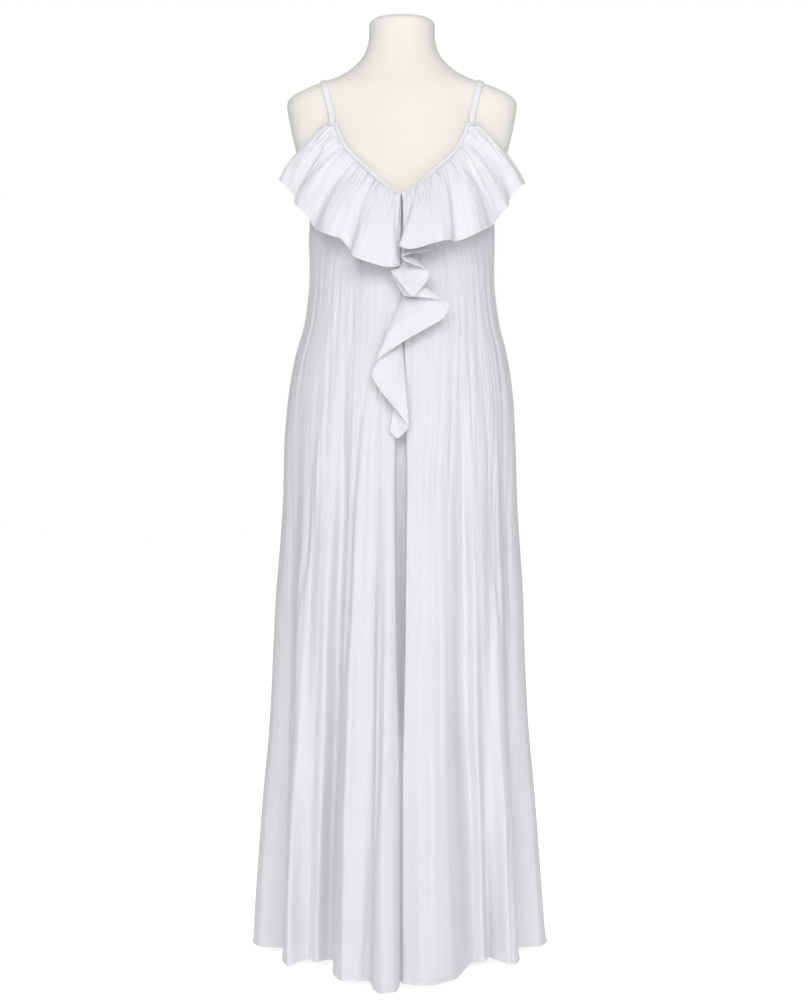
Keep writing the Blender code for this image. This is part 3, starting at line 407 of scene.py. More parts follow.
# brushed steel: long fine scratches along one direction, with paler worn patches and faint smudges
def steelMaterial(name, look, stretch):
    material, tree, shader = newMaterial(name)
    place = addNode(tree, "TexCoord").outputs["Object"]
    scratch = noiseOf(tree, drawnOut(tree, place, stretch), look["brushing"], 3.0)
    smudge = noiseOf(tree, place, 22.0, 4.0)
    tone = ranged(tree, smudge, 0.42, 0.62, 0.0, 1.0)
    colour = blended(tree, tone, (*look["colour"], 1), (*look["wornColour"], 1))
    rough = ranged(tree, mathOf(tree, "ADD", scratch, smudge), 0.7, 1.3, 0.24, 0.46)
    normal = bumped(tree, scratch, 0.2, 0.00005)
    finishShader(tree, shader, {"Base Color": colour, "Roughness": rough, "Normal": normal}, {"Metallic": 1.0})
    return material

# Meshes from grids

def addObject(name, data):
    added = bpy.data.objects.new(name, data)
    bpy.context.scene.collection.objects.link(added)
    return added

# the quads of a grid of points, each as four numbers of points
def gridQuads(rows, columns):
    place = np.arange(rows * columns).reshape(rows, columns)
    return np.stack([place[:-1, :-1], place[:-1, 1:], place[1:, 1:], place[1:, :-1]], axis=-1).reshape(-1, 4)

# a mesh of a grid's points, with the piece's own map in metres and its values at each point
def meshPiece(name, grid, faces, material, across, along, values):
    mesh = bpy.data.meshes.new(name)
    mesh.from_pydata(grid.reshape(-1, 3), [], faces)
    corners = np.empty(len(mesh.loops), dtype=np.int32)
    mesh.loops.foreach_get("vertex_index", corners)
    flat = np.stack([np.broadcast_to(part, grid.shape[:2]).reshape(-1) for part in (across, along)], axis=-1)
    mesh.uv_layers.new(name="cloth").data.foreach_set("uv", flat[corners].reshape(-1).astype(np.float32))
    for key, value in values.items():
        value = np.broadcast_to(value, grid.shape[:2]).reshape(-1).astype(np.float32)
        mesh.attributes.new(key, "FLOAT", "POINT").data.foreach_set("value", value)
    mesh.shade_smooth()
    mesh.materials.append(material)
    return addObject(name, mesh)

# a grid of points as quads that face outwards, away from the form's axis, with a wall where it is cloth. An offset of
# -1 grows the wall inwards, and 0 to both sides
def gridPiece(name, grid, material, across, along, edgeGap=1.0, edgeRun=1.0, wall=0.0, offset=-1.0, crush=1.0):
    quads = gridQuads(*grid.shape[:2])
    if np.sum(np.cross(np.gradient(grid, axis=1), np.gradient(grid, axis=0)) * grid * (1, 1, 0)) < 0:
        quads = quads[:, ::-1]
    values = {"edgeGap": edgeGap, "edgeRun": edgeRun, "crush": crush}
    piece = meshPiece(name, grid, quads, material, across, along, values)
    if wall:
        solidify = piece.modifiers.new("wall", "SOLIDIFY")
        solidify.thickness, solidify.offset, solidify.use_rim = wall, offset, True
    return piece

def finishPiece(piece, node):
    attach(piece, "root")
    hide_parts(node)

# Camera, floor and light

camera = addObject("camera", bpy.data.cameras.new("camera"))
camera.data.lens = studio["lens"]
camera.location = studio["cameraAt"]
camera.rotation_euler = (np.pi / 2, 0, 0)
bpy.context.scene.camera = camera
bpy.context.scene.view_settings.view_transform = "Standard"

# a flat round floor: rings of growing radius round the stand. It glows as pale as the surround to the eye, and lights
# the dress more dimly
rings, spokes = studio["floorRings"], studio["floorSpokes"]
radii, turns = np.linspace(0.001, 1, rings)**3 * studio["floorReach"], np.linspace(0, 2 * np.pi, spokes)
radius, turn = np.meshgrid(radii, turns, indexing="ij")
floorGrid = np.stack([radius * np.cos(turn), radius * np.sin(turn), -0.0005 + 0 * radius], axis=-1)
floorMaterial, floorTree, floorShader = newMaterial("paleFloor")
floorGrain = noiseOf(floorTree, addNode(floorTree, "TexCoord").outputs["Object"], 3.0, 3.0)
floorTone = blended(floorTree, floorGrain, *studio["floorColours"])
floorSeen = addNode(floorTree, "LightPath").outputs["Is Camera Ray"]
floorGlow = ranged(floorTree, floorSeen, 0.0, 1.0, studio["floorBounce"], studio["floorGlow"])
finishShader(floorTree, floorShader, {"Base Color": floorTone, "Emission Strength": floorGlow},
             {"Roughness": 0.9, "Specular IOR Level": 0.1, "Emission Color": (1, 1, 1, 1)})
floorMesh = bpy.data.meshes.new("floor")
floorMesh.from_pydata(floorGrid.reshape(-1, 3), [], gridQuads(rings, spokes)[:, ::-1])
floorMesh.materials.append(floorMaterial)
addObject("floor", floorMesh)

world = bpy.data.worlds.new("studio")
bpy.context.scene.world = world
world.use_nodes = True
worldTree = world.node_tree
surround = worldTree.nodes["Background"]
surround.inputs["Color"].default_value = (1, 1, 1, 1)
seen = addNode(worldTree, "LightPath").outputs["Is Camera Ray"]
worldTree.links.new(ranged(worldTree, seen, 0.0, 1.0, studio["surround"], 1.0), surround.inputs["Strength"])

def addSoftbox(name, place, aim, size, power):
    light = bpy.data.lights.new(name, "AREA")
    light.shape, light.size, light.size_y, light.energy = "RECTANGLE", size[0], size[1], power
    box = addObject(name, light)
    box.location = place
    way = np.array(aim, dtype=float) - np.array(place, dtype=float)
    box.rotation_euler = (np.arctan2(np.hypot(way[0], way[1]), -way[2]), 0, np.arctan2(-way[0], way[1]))
    box.visible_camera = False

for name, (place, aim, size, power) in studio["softboxes"].items():
    addSoftbox(name, place, aim, size, power)
print("camera, floor and light made")

cotton = cottonMaterial("crinkledCotton", cottonLook)
trimCotton = cottonMaterial("smoothCotton", {**cottonLook, "stitchInset": 0.0016, "crushShare": 0.35})
jersey = jerseyMaterial("creamJersey", formLook)
print("materials made")

# The panels of the dress

foldAngles = np.array([fold[0] for fold in dressShape["leftFolds"]]
                      + [-3 * share for share, _ in dressShape["flank"]] + [0.0]
                      + [3 * share for share, _ in dressShape["flank"][::-1]]
                      + [fold[0] for fold in dressShape["rightFolds"]]
                      + [fold[0] for fold in dressShape["backFolds"]], dtype=float)
flankCount = len(dressShape["flank"])
centrePoint = len(dressShape["leftFolds"]) + flankCount
rightPoint = centrePoint + flankCount + len(dressShape["rightFolds"])
lastPoint = len(foldAngles) - 1

# the skirt's section at each height, as one point for each fold line: the plain oval, plus the way from it to the
# fold's place at the hem, which grows as a power of the way down from the fold's start. Then the deep inverted
# fold at the centre front, whose lips keep to the stated width and whose floor lies behind them
def foldPoints(heights):
    def fluted(folds):
        table = np.array(folds, dtype=float)
        angle = np.radians(table[:, 0])
        across, down = np.meshgrid(angle, heights)
        plain = dressPoint(across, down)
        atHem = dressPoint(angle, np.full(len(angle), dressShape["hemHeight"]))
        reach = (table[:, 3] - down) / (table[:, 3] - dressShape["hemHeight"])
        share = np.clip(reach, 0, 1)**dressShape["fluteGrowth"]
        return plain + share[..., None] * (np.stack([table[:, 1], -table[:, 2]], axis=-1) - atHem)
    left, right, back = (fluted(dressShape[key]) for key in ("leftFolds", "rightFolds", "backFolds"))
    width, depth = smoothTable(dressShape["centreFold"], heights).T
    left[:, -1, 0] = dressShape["centreFoldX"] - width / 2
    right[:, 0, 0] = dressShape["centreFoldX"] + width / 2
    lips = (left[:, -1], right[:, 0])
    middle = (lips[0] + lips[1]) / 2
    floorY = np.maximum(lips[0][:, 1], lips[1][:, 1]) + depth
    slot = []
    for lip, flank in ((lips[0], dressShape["flank"]), (lips[1], dressShape["flank"][::-1])):
        for across, down in flank:
            slot.append(np.stack([middle[:, 0] + (lip[:, 0] - middle[:, 0]) * across,
                                  lip[:, 1] + (floorY - lip[:, 1]) * down], axis=-1))
    slot.insert(flankCount, np.stack([middle[:, 0], floorY], axis=-1))
    return np.concatenate([left, np.stack(slot, axis=1), right, back], axis=1)

hemRows = dressShape["hemHeight"] + np.array([0, 0.6, 1.6, 3.0, 4.4, 5.4, 6.2, 7.0, 8.2, 11, 15]) / 1000
plainRows = np.arange(0.034, dressShape["bodiceHeight"], dressShape["rowStep"])
skirtHeights = np.concatenate([hemRows, plainRows, [dressShape["bodiceHeight"]]])
bodiceShares = np.linspace(0, 1, 12)[1:]
edgeSteps = np.array([7.0, 5.2, 3.4, 1.8, 0.7, 0.0]) / 1000

# columns a set number to each panel, spaced by the mean length of the rows; the hidden fold's sides get few
coarse = np.linspace(0, lastPoint, lastPoint * 10 + 1)
sampleRings = throughPoints(foldPoints(np.linspace(0.01, 1.1, 12)), coarse, True)
ringLength = np.linalg.norm(np.diff(sampleRings, axis=1), axis=-1).mean(axis=0)
hidden = (coarse[1:] > len(dressShape["leftFolds"]) - 0.6) & (coarse[1:] < centrePoint + flankCount + 0.6)
weighted = np.concatenate([[0], np.cumsum(ringLength * np.where(hidden, 0.35, 1.0))])
trueRun = np.concatenate([[0], np.cumsum(ringLength)])
ends = np.interp([0, centrePoint, rightPoint, lastPoint], coarse, weighted)
spaced = [np.linspace(a, b, count) for a, b, count in zip(ends[:-1], ends[1:], dressShape["columns"])]
places = np.interp(np.concatenate([spaced[0], spaced[1][1:], spaced[2][1:]]), weighted, coarse)
seamColumn = dressShape["columns"][0] - 1
sideColumn = seamColumn + dressShape["columns"][1] - 1
columnDegrees = np.interp(places, np.arange(lastPoint + 1), foldAngles)
columnRun = np.interp(places, coarse, trueRun)

tops = topHeight(columnDegrees)
lowBodice = dressShape["bodiceHeight"]
heights = np.concatenate([
    np.repeat(skirtHeights[:, None], len(places), axis=1),
    lowBodice + bodiceShares[:, None] * (tops - 0.010 - lowBodice),
    tops - edgeSteps[:, None],
])
columnAngle = np.broadcast_to(np.radians(columnDegrees), heights.shape)
fluted = throughPoints(foldPoints(heights[:, 0]), places, True, dressShape["foldEase"])
plain = dressPoint(columnAngle, heights)
upper = smoothStep((heights - 1.00) / 0.09)[..., None]
dressGrid = np.concatenate([fluted * (1 - upper) + plain * upper, heights[..., None]], axis=-1)

def ringNormals(grid):
    around = grid[:, :-1]
    across = np.roll(around, -1, axis=1) - np.roll(around, 1, axis=1)
    normals = unitOf(np.cross(across, np.gradient(around, axis=0)))
    return np.concatenate([normals, normals[:, :1]], axis=1)

crinkle = {
    "spacing": 0.0085,          # of the crush pleats, along the mean row
    "length": 0.17,
    "fine": 0.00062,
    "broad": 0.00115,
    "hemShare": 0.14,           # of the crush that is left near the hem
    "fadeHeight": 0.34,         # above it the crush grows to its full depth
    "fadeOver": 0.45,
    "bodiceCut": 0.25,          # how much shallower all of it is on the bodice
    "seed": 11,
}

# the main creases, by where they are seen: half width, depth, then x (or y on the sides) and height of each point of
# the crease, from the top down
creases = {
    "front": [
        (0.0044, 0.004, -0.041, 1.1, -0.051, 0.96, -0.07, 0.822, -0.081, 0.65, -0.086, 0.536, -0.094,
         0.438, -0.1, 0.004),
        (0.0048, 0.0034, -0.15, 0.9, -0.152, 0.679, -0.168, 0.582, -0.181, 0.517, -0.187, 0.25, -0.189, 0.004),
        (0.006, 0.0036, -0.034, 0.76, -0.034, 0.56, -0.036, 0.438, -0.056, 0.004),
        (0.007, 0.0036, 0.09, 0.72, 0.09, 0.341, 0.092, 0.004),
        (0.0048, 0.0034, 0.141, 0.88, 0.143, 0.679, 0.156, 0.579, 0.173, 0.478, 0.175, 0.327, 0.174, 0.004),
        (0.0044, 0.0022, 0.134, 0.42, 0.138, 0.004), (0.004, 0.0032, -0.015, 1.095, -0.048, 0.8),
        (0.0026, 0.0018, -0.024, 1.08, -0.06, 0.78), (0.003, 0.002, 0.014, 1.06, 0.011, 0.86),
        (0.0032, 0.0016, -0.112, 1.09, -0.118, 0.86), (0.0028, 0.0013, -0.101, 1.12, -0.108, 0.905),
        (0.0034, 0.0015, -0.091, 1.075, -0.094, 0.8), (0.0036, 0.0014, -0.121, 1.05, -0.133, 0.8),
        (0.0028, 0.0012, -0.08, 1.11, -0.079, 0.93), (0.0032, 0.001, -0.068, 1.04, -0.07, 0.7),
        (0.004, 0.0013, -0.132, 1.01, -0.146, 0.69), (0.0036, 0.0011, -0.105, 0.89, -0.119, 0.54),
        (0.0044, 0.0015, -0.139, 0.87, -0.163, 0.46), (0.003, 0.0009, -0.055, 0.9, -0.06, 0.56),
        (0.0034, 0.001, -0.044, 0.82, -0.052, 0.4), (0.0044, 0.0012, -0.126, 0.64, -0.143, 0.25),
        (0.004, 0.0012, -0.074, 0.62, -0.083, 0.18), (0.0042, 0.001, -0.059, 0.43, -0.066, 0.06),
        (0.005, 0.0013, -0.152, 0.52, -0.171, 0.12), (0.0044, 0.0012, -0.168, 0.76, -0.19, 0.42),
        (0.003, 0.0014, 0.094, 1.1, 0.092, 0.88), (0.0032, 0.0016, 0.106, 1.07, 0.111, 0.83),
        (0.003, 0.0013, 0.117, 1.11, 0.124, 0.9), (0.003, 0.0012, 0.083, 1.06, 0.076, 0.76),
        (0.0026, 0.001, 0.07, 1.03, 0.058, 0.85), (0.004, 0.0013, 0.128, 1.02, 0.139, 0.74),
        (0.0026, 0.0011, 0.052, 0.98, 0.036, 0.8), (0.0028, 0.0012, 0.064, 0.93, 0.049, 0.7),
        (0.0028, 0.0012, 0.081, 0.9, 0.07, 0.64), (0.0026, 0.001, 0.04, 0.86, 0.03, 0.61),
        (0.0034, 0.0012, 0.097, 0.85, 0.096, 0.52), (0.0032, 0.0009, 0.029, 0.76, 0.026, 0.38),
        (0.0036, 0.001, 0.056, 0.69, 0.06, 0.27), (0.004, 0.0012, 0.116, 0.76, 0.128, 0.4),
        (0.0044, 0.0014, 0.144, 0.86, 0.16, 0.48), (0.004, 0.001, 0.041, 0.47, 0.044, 0.08),
        (0.0046, 0.0012, 0.134, 0.52, 0.15, 0.14), (0.0042, 0.001, 0.072, 0.38, 0.08, 0.05),
        (0.0046, 0.0012, 0.17, 0.7, 0.186, 0.33), (0.0024, 0.0009, 0.018, 1, 0.02, 0.8),
    ],
    "back": [
        (0.0034, 0.0014, -0.104, 1.19, -0.112, 0.93), (0.0032, 0.0012, -0.082, 1.16, -0.086, 0.86),
        (0.003, 0.0012, -0.058, 1.21, -0.06, 0.96), (0.0034, 0.0013, -0.036, 1.13, -0.034, 0.82),
        (0.003, 0.0011, -0.014, 1.18, -0.016, 0.9), (0.0032, 0.0013, 0.012, 1.15, 0.015, 0.84),
        (0.003, 0.0012, 0.034, 1.2, 0.038, 0.94), (0.0034, 0.0013, 0.061, 1.14, 0.066, 0.85),
        (0.0032, 0.0012, 0.088, 1.19, 0.094, 0.92), (0.0036, 0.0014, 0.108, 1.12, 0.118, 0.83),
        (0.0042, 0.0013, -0.126, 0.98, -0.142, 0.62), (0.0038, 0.0012, -0.07, 0.9, -0.076, 0.5),
        (0.004, 0.0011, -0.022, 0.88, -0.024, 0.44), (0.0038, 0.0012, 0.026, 0.86, 0.03, 0.48),
        (0.004, 0.0012, 0.078, 0.88, 0.088, 0.52), (0.0044, 0.0013, 0.13, 0.94, 0.148, 0.56),
        (0.0044, 0.0011, -0.046, 0.56, -0.052, 0.12), (0.0044, 0.0011, 0.056, 0.56, 0.064, 0.14),
        (0.0046, 0.0012, -0.108, 0.6, -0.122, 0.18), (0.0046, 0.0012, 0.112, 0.58, 0.128, 0.16),
    ],
    "left": [
        (0.0034, 0.0014, -0.06, 1.15, -0.066, 0.86), (0.0032, 0.0013, -0.03, 1.21, -0.028, 0.9),
        (0.0034, 0.0014, 0.004, 1.16, 0.006, 0.84), (0.0032, 0.0013, 0.038, 1.2, 0.044, 0.9),
        (0.0042, 0.0013, -0.046, 0.9, -0.058, 0.48), (0.0042, 0.0013, 0.03, 0.88, 0.04, 0.44),
    ],
    "right": [
        (0.0034, 0.0014, -0.056, 1.17, -0.064, 0.88), (0.0032, 0.0013, -0.024, 1.2, -0.026, 0.88),
        (0.0034, 0.0014, 0.008, 1.15, 0.006, 0.83), (0.0032, 0.0013, 0.042, 1.19, 0.048, 0.89),
        (0.0042, 0.0013, -0.05, 0.88, -0.06, 0.5), (0.0042, 0.0013, 0.034, 0.86, 0.044, 0.46),
    ],
}

# one crease: a narrow trough with a lower ridge beside it, along a slightly swaying line. It fades at both ends, or
# only at the top where it runs out at the hem
def creaseDepth(lines, across, height, seed):
    total = np.zeros(height.shape)
    for number, (width, depth, *line) in enumerate(lines):
        places, levels = np.array(line).reshape(-1, 2)[::-1].T
        share = np.clip((height - levels[0]) / (levels[-1] - levels[0]), 0, 1)
        share = np.where(levels[0] < 0.01, 0.5 + 0.5 * share, share)
        sway = 0.0018 * softNoise(seed + number, height / 0.09, 0 * height)
        off = across - smoothTable(np.stack([levels, places], axis=-1).tolist(), height)[..., 0] - sway
        body = np.exp(-(off / width)**2) - 0.55 * np.exp(-((off - 2.1 * width) / (1.3 * width))**2)
        total -= depth * np.sin(np.pi * share)**0.7 * body
    return total

# the cloth's own relief: sharp crush pleats (folded noise, long along the cloth), broader soft ones, and the creases
# above. It fades out under the neck band and the flounce
normals = ringNormals(dressGrid)
run = np.broadcast_to(columnRun, heights.shape)
sway = 0.8 * softNoise(crinkle["seed"], run / 0.07, heights / 0.22)
lineUp = run / crinkle["spacing"] + sway
sharp = np.abs(softNoise(crinkle["seed"] + 1, lineUp, heights / crinkle["length"] + 40 + lineUp * 0.13))
broad = softNoise(crinkle["seed"] + 2, lineUp / 2.7, heights / (1.9 * crinkle["length"]) + 40 + lineUp * 0.07)
patch = 0.60 + 0.50 * softNoise(crinkle["seed"] + 3, run / 0.08, heights / 0.19)
aboveFade = heights - crinkle["fadeHeight"] + 0.10 * softNoise(19, run / 0.06, 0 * run)
crushShare = crinkle["hemShare"] + (1 - crinkle["hemShare"]) * smoothStep(aboveFade / crinkle["fadeOver"])
relief = (crinkle["fine"] * (1 - 2.4 * sharp) + crinkle["broad"] * broad) * patch * crushShare
for side, axis, sign, edge, seed in (("front", 1, -1, 0.3, 100), ("back", 1, 1, 0.3, 200),
                                     ("left", 0, -1, 0.9, 300), ("right", 0, 1, 0.9, 400)):
    facing = smoothStep(sign * normals[..., axis] * 2 - edge)
    relief += creaseDepth(creases[side], dressGrid[..., 1 - axis], heights, seed) * facing
relief *= 1 - crinkle["bodiceCut"] * smoothStep((heights - 0.86) / 0.12)
underBand = np.abs((columnDegrees + 180) % 360 - 180) < 70
topGap = tops - heights
relief *= np.where(underBand, smoothStep((topGap - 0.012) / 0.05), smoothStep((topGap + 0.004) / 0.020))
hemGap = heights - dressShape["hemHeight"]
fullRun = runAlong(dressGrid[:1], 1)[0]

# a narrow turned edge: a round swelling over the turned cloth, then a dip at its row of stitches
def turnedEdge(gap, width, swell):
    arch = np.sqrt(np.clip(1 - ((gap - width / 2) / (width / 2 + 0.0002))**2, 0, 1))
    return swell * arch - 0.00012 * np.exp(-((gap - width) / 0.0009)**2)

hemShape = {
    "turned": (0.0062, 0.0003),         # width and swelling of the hem, then of the top edge
    "topTurned": (0.0050, 0.0005),
    "spacings": (0.011, 0.034),         # of its small and its large ripples
    "outward": (0.0011, 0.0022),        # how far each moves the hem out and up
    "upward": (0.0012, 0.0010),
}
edgePlace = np.broadcast_to(fullRun, heights.shape)
ripple, flick = (softNoise(seed, edgePlace / gap, 0 * heights) for seed, gap in zip((31, 32), hemShape["spacings"]))
relief += turnedEdge(hemGap, *hemShape["turned"]) * (hemGap < 0.02)
relief += (hemShape["outward"][0] * ripple + hemShape["outward"][1] * flick) * np.exp(-(hemGap / 0.012)**2)
relief += turnedEdge(topGap, *hemShape["topTurned"]) * (topGap < 0.02) * np.where(underBand, 0, 1)
dressGrid = dressGrid + normals * relief[..., None]
dressGrid[..., 2] += (hemShape["upward"][0] * ripple + hemShape["upward"][1] * flick) * np.exp(-(hemGap / 0.010)**2)

edgeGap = np.minimum(hemGap, np.where(underBand, 1.0, topGap + 0.0012))
panels = {   # node, first and last column, then the cut: width, length and area
    "dressFrontLeft": ("dress_front_left", 0, seamColumn, 0.64, 1.36, 0.48),
    "dressFrontRight": ("dress_front_right", seamColumn, sideColumn, 0.53, 1.36, 0.43),
    "dressBack": ("dress_back", sideColumn, len(places) - 1, 1.04, 1.26, 0.79),
}
for name, (node, first, last, width, length, area) in panels.items():
    part = slice(first, last + 1)
    panel = gridPiece(name, dressGrid[:, part], cotton, columnRun[part], heights[:, part], edgeGap[:, part],
                      fullRun[part], dressShape["wall"], crush=crushShare[:, part])
    finishPiece(panel, node)
    rowLength = runAlong(dressGrid[:, part], 1)[:, -1]
    columnLength = runAlong(dressGrid[:, part], 0)[-1]
    print(name, "hem %.3f top %.3f length %.3f" % (rowLength[0], rowLength[-1], columnLength.max()))
print("dress panels made")

# The neck binding

bindingShape = {
    "columns": 150,
    "end": 61.6,                # degrees from the centre front to the strap
    "wall": 0.0003,
    "flatWidth": 0.0135,
    "pucker": 0.00028,
    "puckerSpacing": 0.0048,
    # across the folded band: how far out of the cloth, and how far below its top edge
    "profile": [
        (-0.0014, 0.0046), (-0.0015, 0.002), (-0.0012, 0.0002), (-0.0005, -0.0005), (0.0003, -0.0006),
        (0.0009, -0.0001), (0.0012, 0.0008), (0.0013, 0.002), (0.0013, 0.0034), (0.0012, 0.0046), (0.001, 0.0054),
        (0.0007, 0.006),
    ],
}

# the folded band carried along the neck edge: the edge's own point, moved down the bodice and out along its normal,
# with small puckers from the gathers below
def makeBinding(name, node, firstDegrees, lastDegrees):
    degrees = np.linspace(firstDegrees, lastDegrees, bindingShape["columns"])
    profile = np.array(bindingShape["profile"])
    slant, top = edgeSlant(degrees), topHeight(degrees)
    height = top - profile[:, 1:] * slant
    spot = bodicePoint(degrees[None, :] + 0 * height, height)
    length = runAlong(bodicePoint(degrees, top)[None], 1)[0]
    pucker = bindingShape["pucker"] * softNoise(51, length / bindingShape["puckerSpacing"], 0 * length)
    pucker = pucker * np.clip(profile[:, 1:] / 0.004, 0, 1)
    grid = spot + bodiceNormal(degrees, top) * (profile[:, :1] + pucker * (profile[:, :1] > 0))[..., None]
    gap = np.clip(0.0062 - profile[:, 1:], 0, 1)
    binding = gridPiece(name, grid, trimCotton, length, profile[:, 1:], gap, length, bindingShape["wall"])
    finishPiece(binding, node)

makeBinding("neckBindingLeft", "neck_binding_left", -bindingShape["end"], 0.0)
makeBinding("neckBindingRight", "neck_binding_right", 0.0, bindingShape["end"])
print("neck bindings made")

# The flounce

flounceShape = {
    "wall": 0.0007,
    "steps": 18,
    "crush": 0.5,
    "lift": 0.0011,             # off the bodice at its seam
    "bow": 0.010,
    "gatherSlope": 0.24,        # height of a roll at the seam over its width, up to the next value
    "gatherHeight": 0.006,
    "tightGather": (0.0042, 0.0058),    # spacing and height of the creases at the seam
    "wideGather": (0.0105, 0.0034),
    "flutes": (0.019, 0.0036),
    "crushPleats": (0.009, 0.0005),
    "rippledEdge": (0.012, 0.0010),
    "hem": (0.0042, 0.00025),   # width and swelling of the rolled hem
    "band": 0.0050,             # from the neck edge down to its seam
    "flat": (0.36, 0.13),       # along the gathered seam before gathering, and depth
    "area": 0.040,
    # rolls and hollows: angle on the neck seam, then x, height and depth at the free edge
    "left": [
        (-0.8, -0.003, 1.112, 0.144), (-7, -0.024, 1.107, 0.168), (-13, -0.05, 1.114, 0.174),
        (-18, -0.075, 1.124, 0.166), (-23, -0.083, 1.139, 0.138), (-28, -0.095, 1.155, 0.13),
        (-33, -0.113, 1.16, 0.138), (-38, -0.129, 1.169, 0.122), (-43, -0.139, 1.18, 0.096),
        (-48, -0.155, 1.202, 0.092), (-53, -0.173, 1.223, 0.074), (-57, -0.17, 1.233, 0.052),
        (-60, -0.191, 1.256, 0.052), (-63.5, -0.199, 1.266, 0.028), (-66, -0.1945, 1.264, 0.012),
    ],
    "right": [
        (0.8, 0.003, 1.152, 0.142), (7, 0.018, 1.15, 0.146), (13, 0.03, 1.145, 0.154), (19, -0.0035, 1.1375, 0.18),
        (23, 0.013, 1.133, 0.186), (27, 0.04, 1.1405, 0.18), (32, 0.072, 1.15, 0.16), (36, 0.087, 1.1525, 0.136),
        (41, 0.105, 1.159, 0.136), (45, 0.13, 1.172, 0.122), (49, 0.144, 1.184, 0.09), (52, 0.155, 1.199, 0.082),
        (55, 0.174, 1.224, 0.066), (58, 0.176, 1.237, 0.05), (60.5, 0.192, 1.254, 0.05),
        (63.5, 0.2015, 1.263, 0.028), (66, 0.1965, 1.261, 0.012),
    ],
}

hemShares = np.array([0.945, 0.955, 0.963, 0.970, 0.978, 0.985, 0.992, 0.997, 1.0])
flounceShares = np.concatenate([np.linspace(0, 1, 40)[:-2]**1.25 * 0.97, hemShares])

# from the neck seam to the free edge in straight lines that bow outwards, with a pucker at the seam for each roll,
# sharp gather creases that run out of the seam, a soft crush, and a narrow rolled hem
def makeFlounce(name, node, folds, seed):
    places, degrees, edge = tableCurve(folds, flounceShape["steps"])
    slant = edgeSlant(degrees)
    below = topHeight(degrees) - (flounceShape["band"] + 0.0004) * slant
    seam = bodicePoint(degrees, below) + bodiceNormal(degrees, below) * flounceShape["lift"]
    outward = unitOf(edge * (1, 1, 0))
    seamStep = np.linalg.norm(np.gradient(seam, axis=0), axis=-1) * flounceShape["steps"]
    gather = np.minimum(seamStep * flounceShape["gatherSlope"], flounceShape["gatherHeight"])
    gather *= (1 - np.cos(2 * np.pi * places)) / 2
    share = flounceShares[:, None]
    gathered = gather * (1 - share)**2 * np.clip(share / 0.06, 0, 1)
    bow = flounceShape["bow"] * 4 * share * (1 - share)
    grid = seam + (edge - seam) * share[..., None] + outward * (bow + gathered)[..., None]
    across = runAlong(seam[None], 1)[0]
    edgeRun = runAlong(edge[None], 1)[0]
    seamRun = np.broadcast_to(across, grid.shape[:2])
    tightGap, tightHeight = flounceShape["tightGather"]
    wideGap, wideHeight = flounceShape["wideGather"]
    fluteGap, fluteHeight = flounceShape["flutes"]
    crushGap, crushHeight = flounceShape["crushPleats"]
    rippleGap, rippleHeight = flounceShape["rippledEdge"]
    # gather creases: folded noise, tight at the seam and spreading with the cloth
    tight = np.abs(softNoise(seed, seamRun / tightGap, share * 1.6 + 3))
    wide = softNoise(seed + 1, seamRun / wideGap, share * 1.2 + 9)
    fromSeam = np.clip(share / 0.05, 0, 1)
    reach = 0.26 + 0.20 * softNoise(seed + 5, seamRun / 0.011, 0 * seamRun)
    relief = tightHeight * np.minimum(1.7 * tight, 1)**0.8 * np.exp(-(share / reach)**2) * fromSeam
    relief += wideHeight * (0.5 + wide) * np.exp(-(share / 0.55)**2) * fromSeam
    edgePlace = np.broadcast_to(edgeRun, grid.shape[:2])
    waver = 0.5 * softNoise(seed + 7, share * 2, 0 * share)
    flutes = softNoise(seed + 6, edgePlace / fluteGap + waver, share * 0.9 + 2)
    relief += fluteHeight * flutes * smoothStep((share - 0.15) / 0.6)
    crush = np.abs(softNoise(seed + 2, edgePlace / crushGap, share * 3 + 5))
    relief += crushHeight * (1 - 2.2 * crush) * smoothStep((share - 0.2) / 0.4)
    gap = (1 - share) * np.linalg.norm(edge - seam, axis=-1)
    relief += turnedEdge(gap, *flounceShape["hem"]) * (gap < 0.012)
    relief += rippleHeight * softNoise(seed + 3, edgePlace / rippleGap, 0 * edgePlace) * np.exp(-(gap / 0.010)**2)
    facing = np.sign(np.sum(sheetNormals(grid) * (outward * (1, 1, 0))[None]))
    grid = grid + sheetNormals(grid) * facing * relief[..., None]
    lift = flounceShape["lift"] + 0.0008 * fromSeam + 0.004 * share + gathered + 0.0016 * fromSeam
    grid = keepClear(grid, lift - 0.6 * gathered, 0.0006 + 0.005 * share)
    grid[0] = seam
    fromTop = runAlong(grid, 0)
    flounce = gridPiece(name, grid, cotton, 0.6 * edgePlace + 0.4 * seamRun, fromTop, gap + 0.0018, edgeRun,
                        flounceShape["wall"], 0.0, flounceShape["crush"])
    finishPiece(flounce, node)
    print(name, "seam %.3f edge %.3f depth %.3f" % (across[-1], edgeRun[-1], fromTop[-1].mean()))

makeFlounce("flounceLeft", "flounce_left", flounceShape["left"], 61)
makeFlounce("flounceRight", "flounce_right", flounceShape["right"], 71)
print("flounces made")

# The cascade

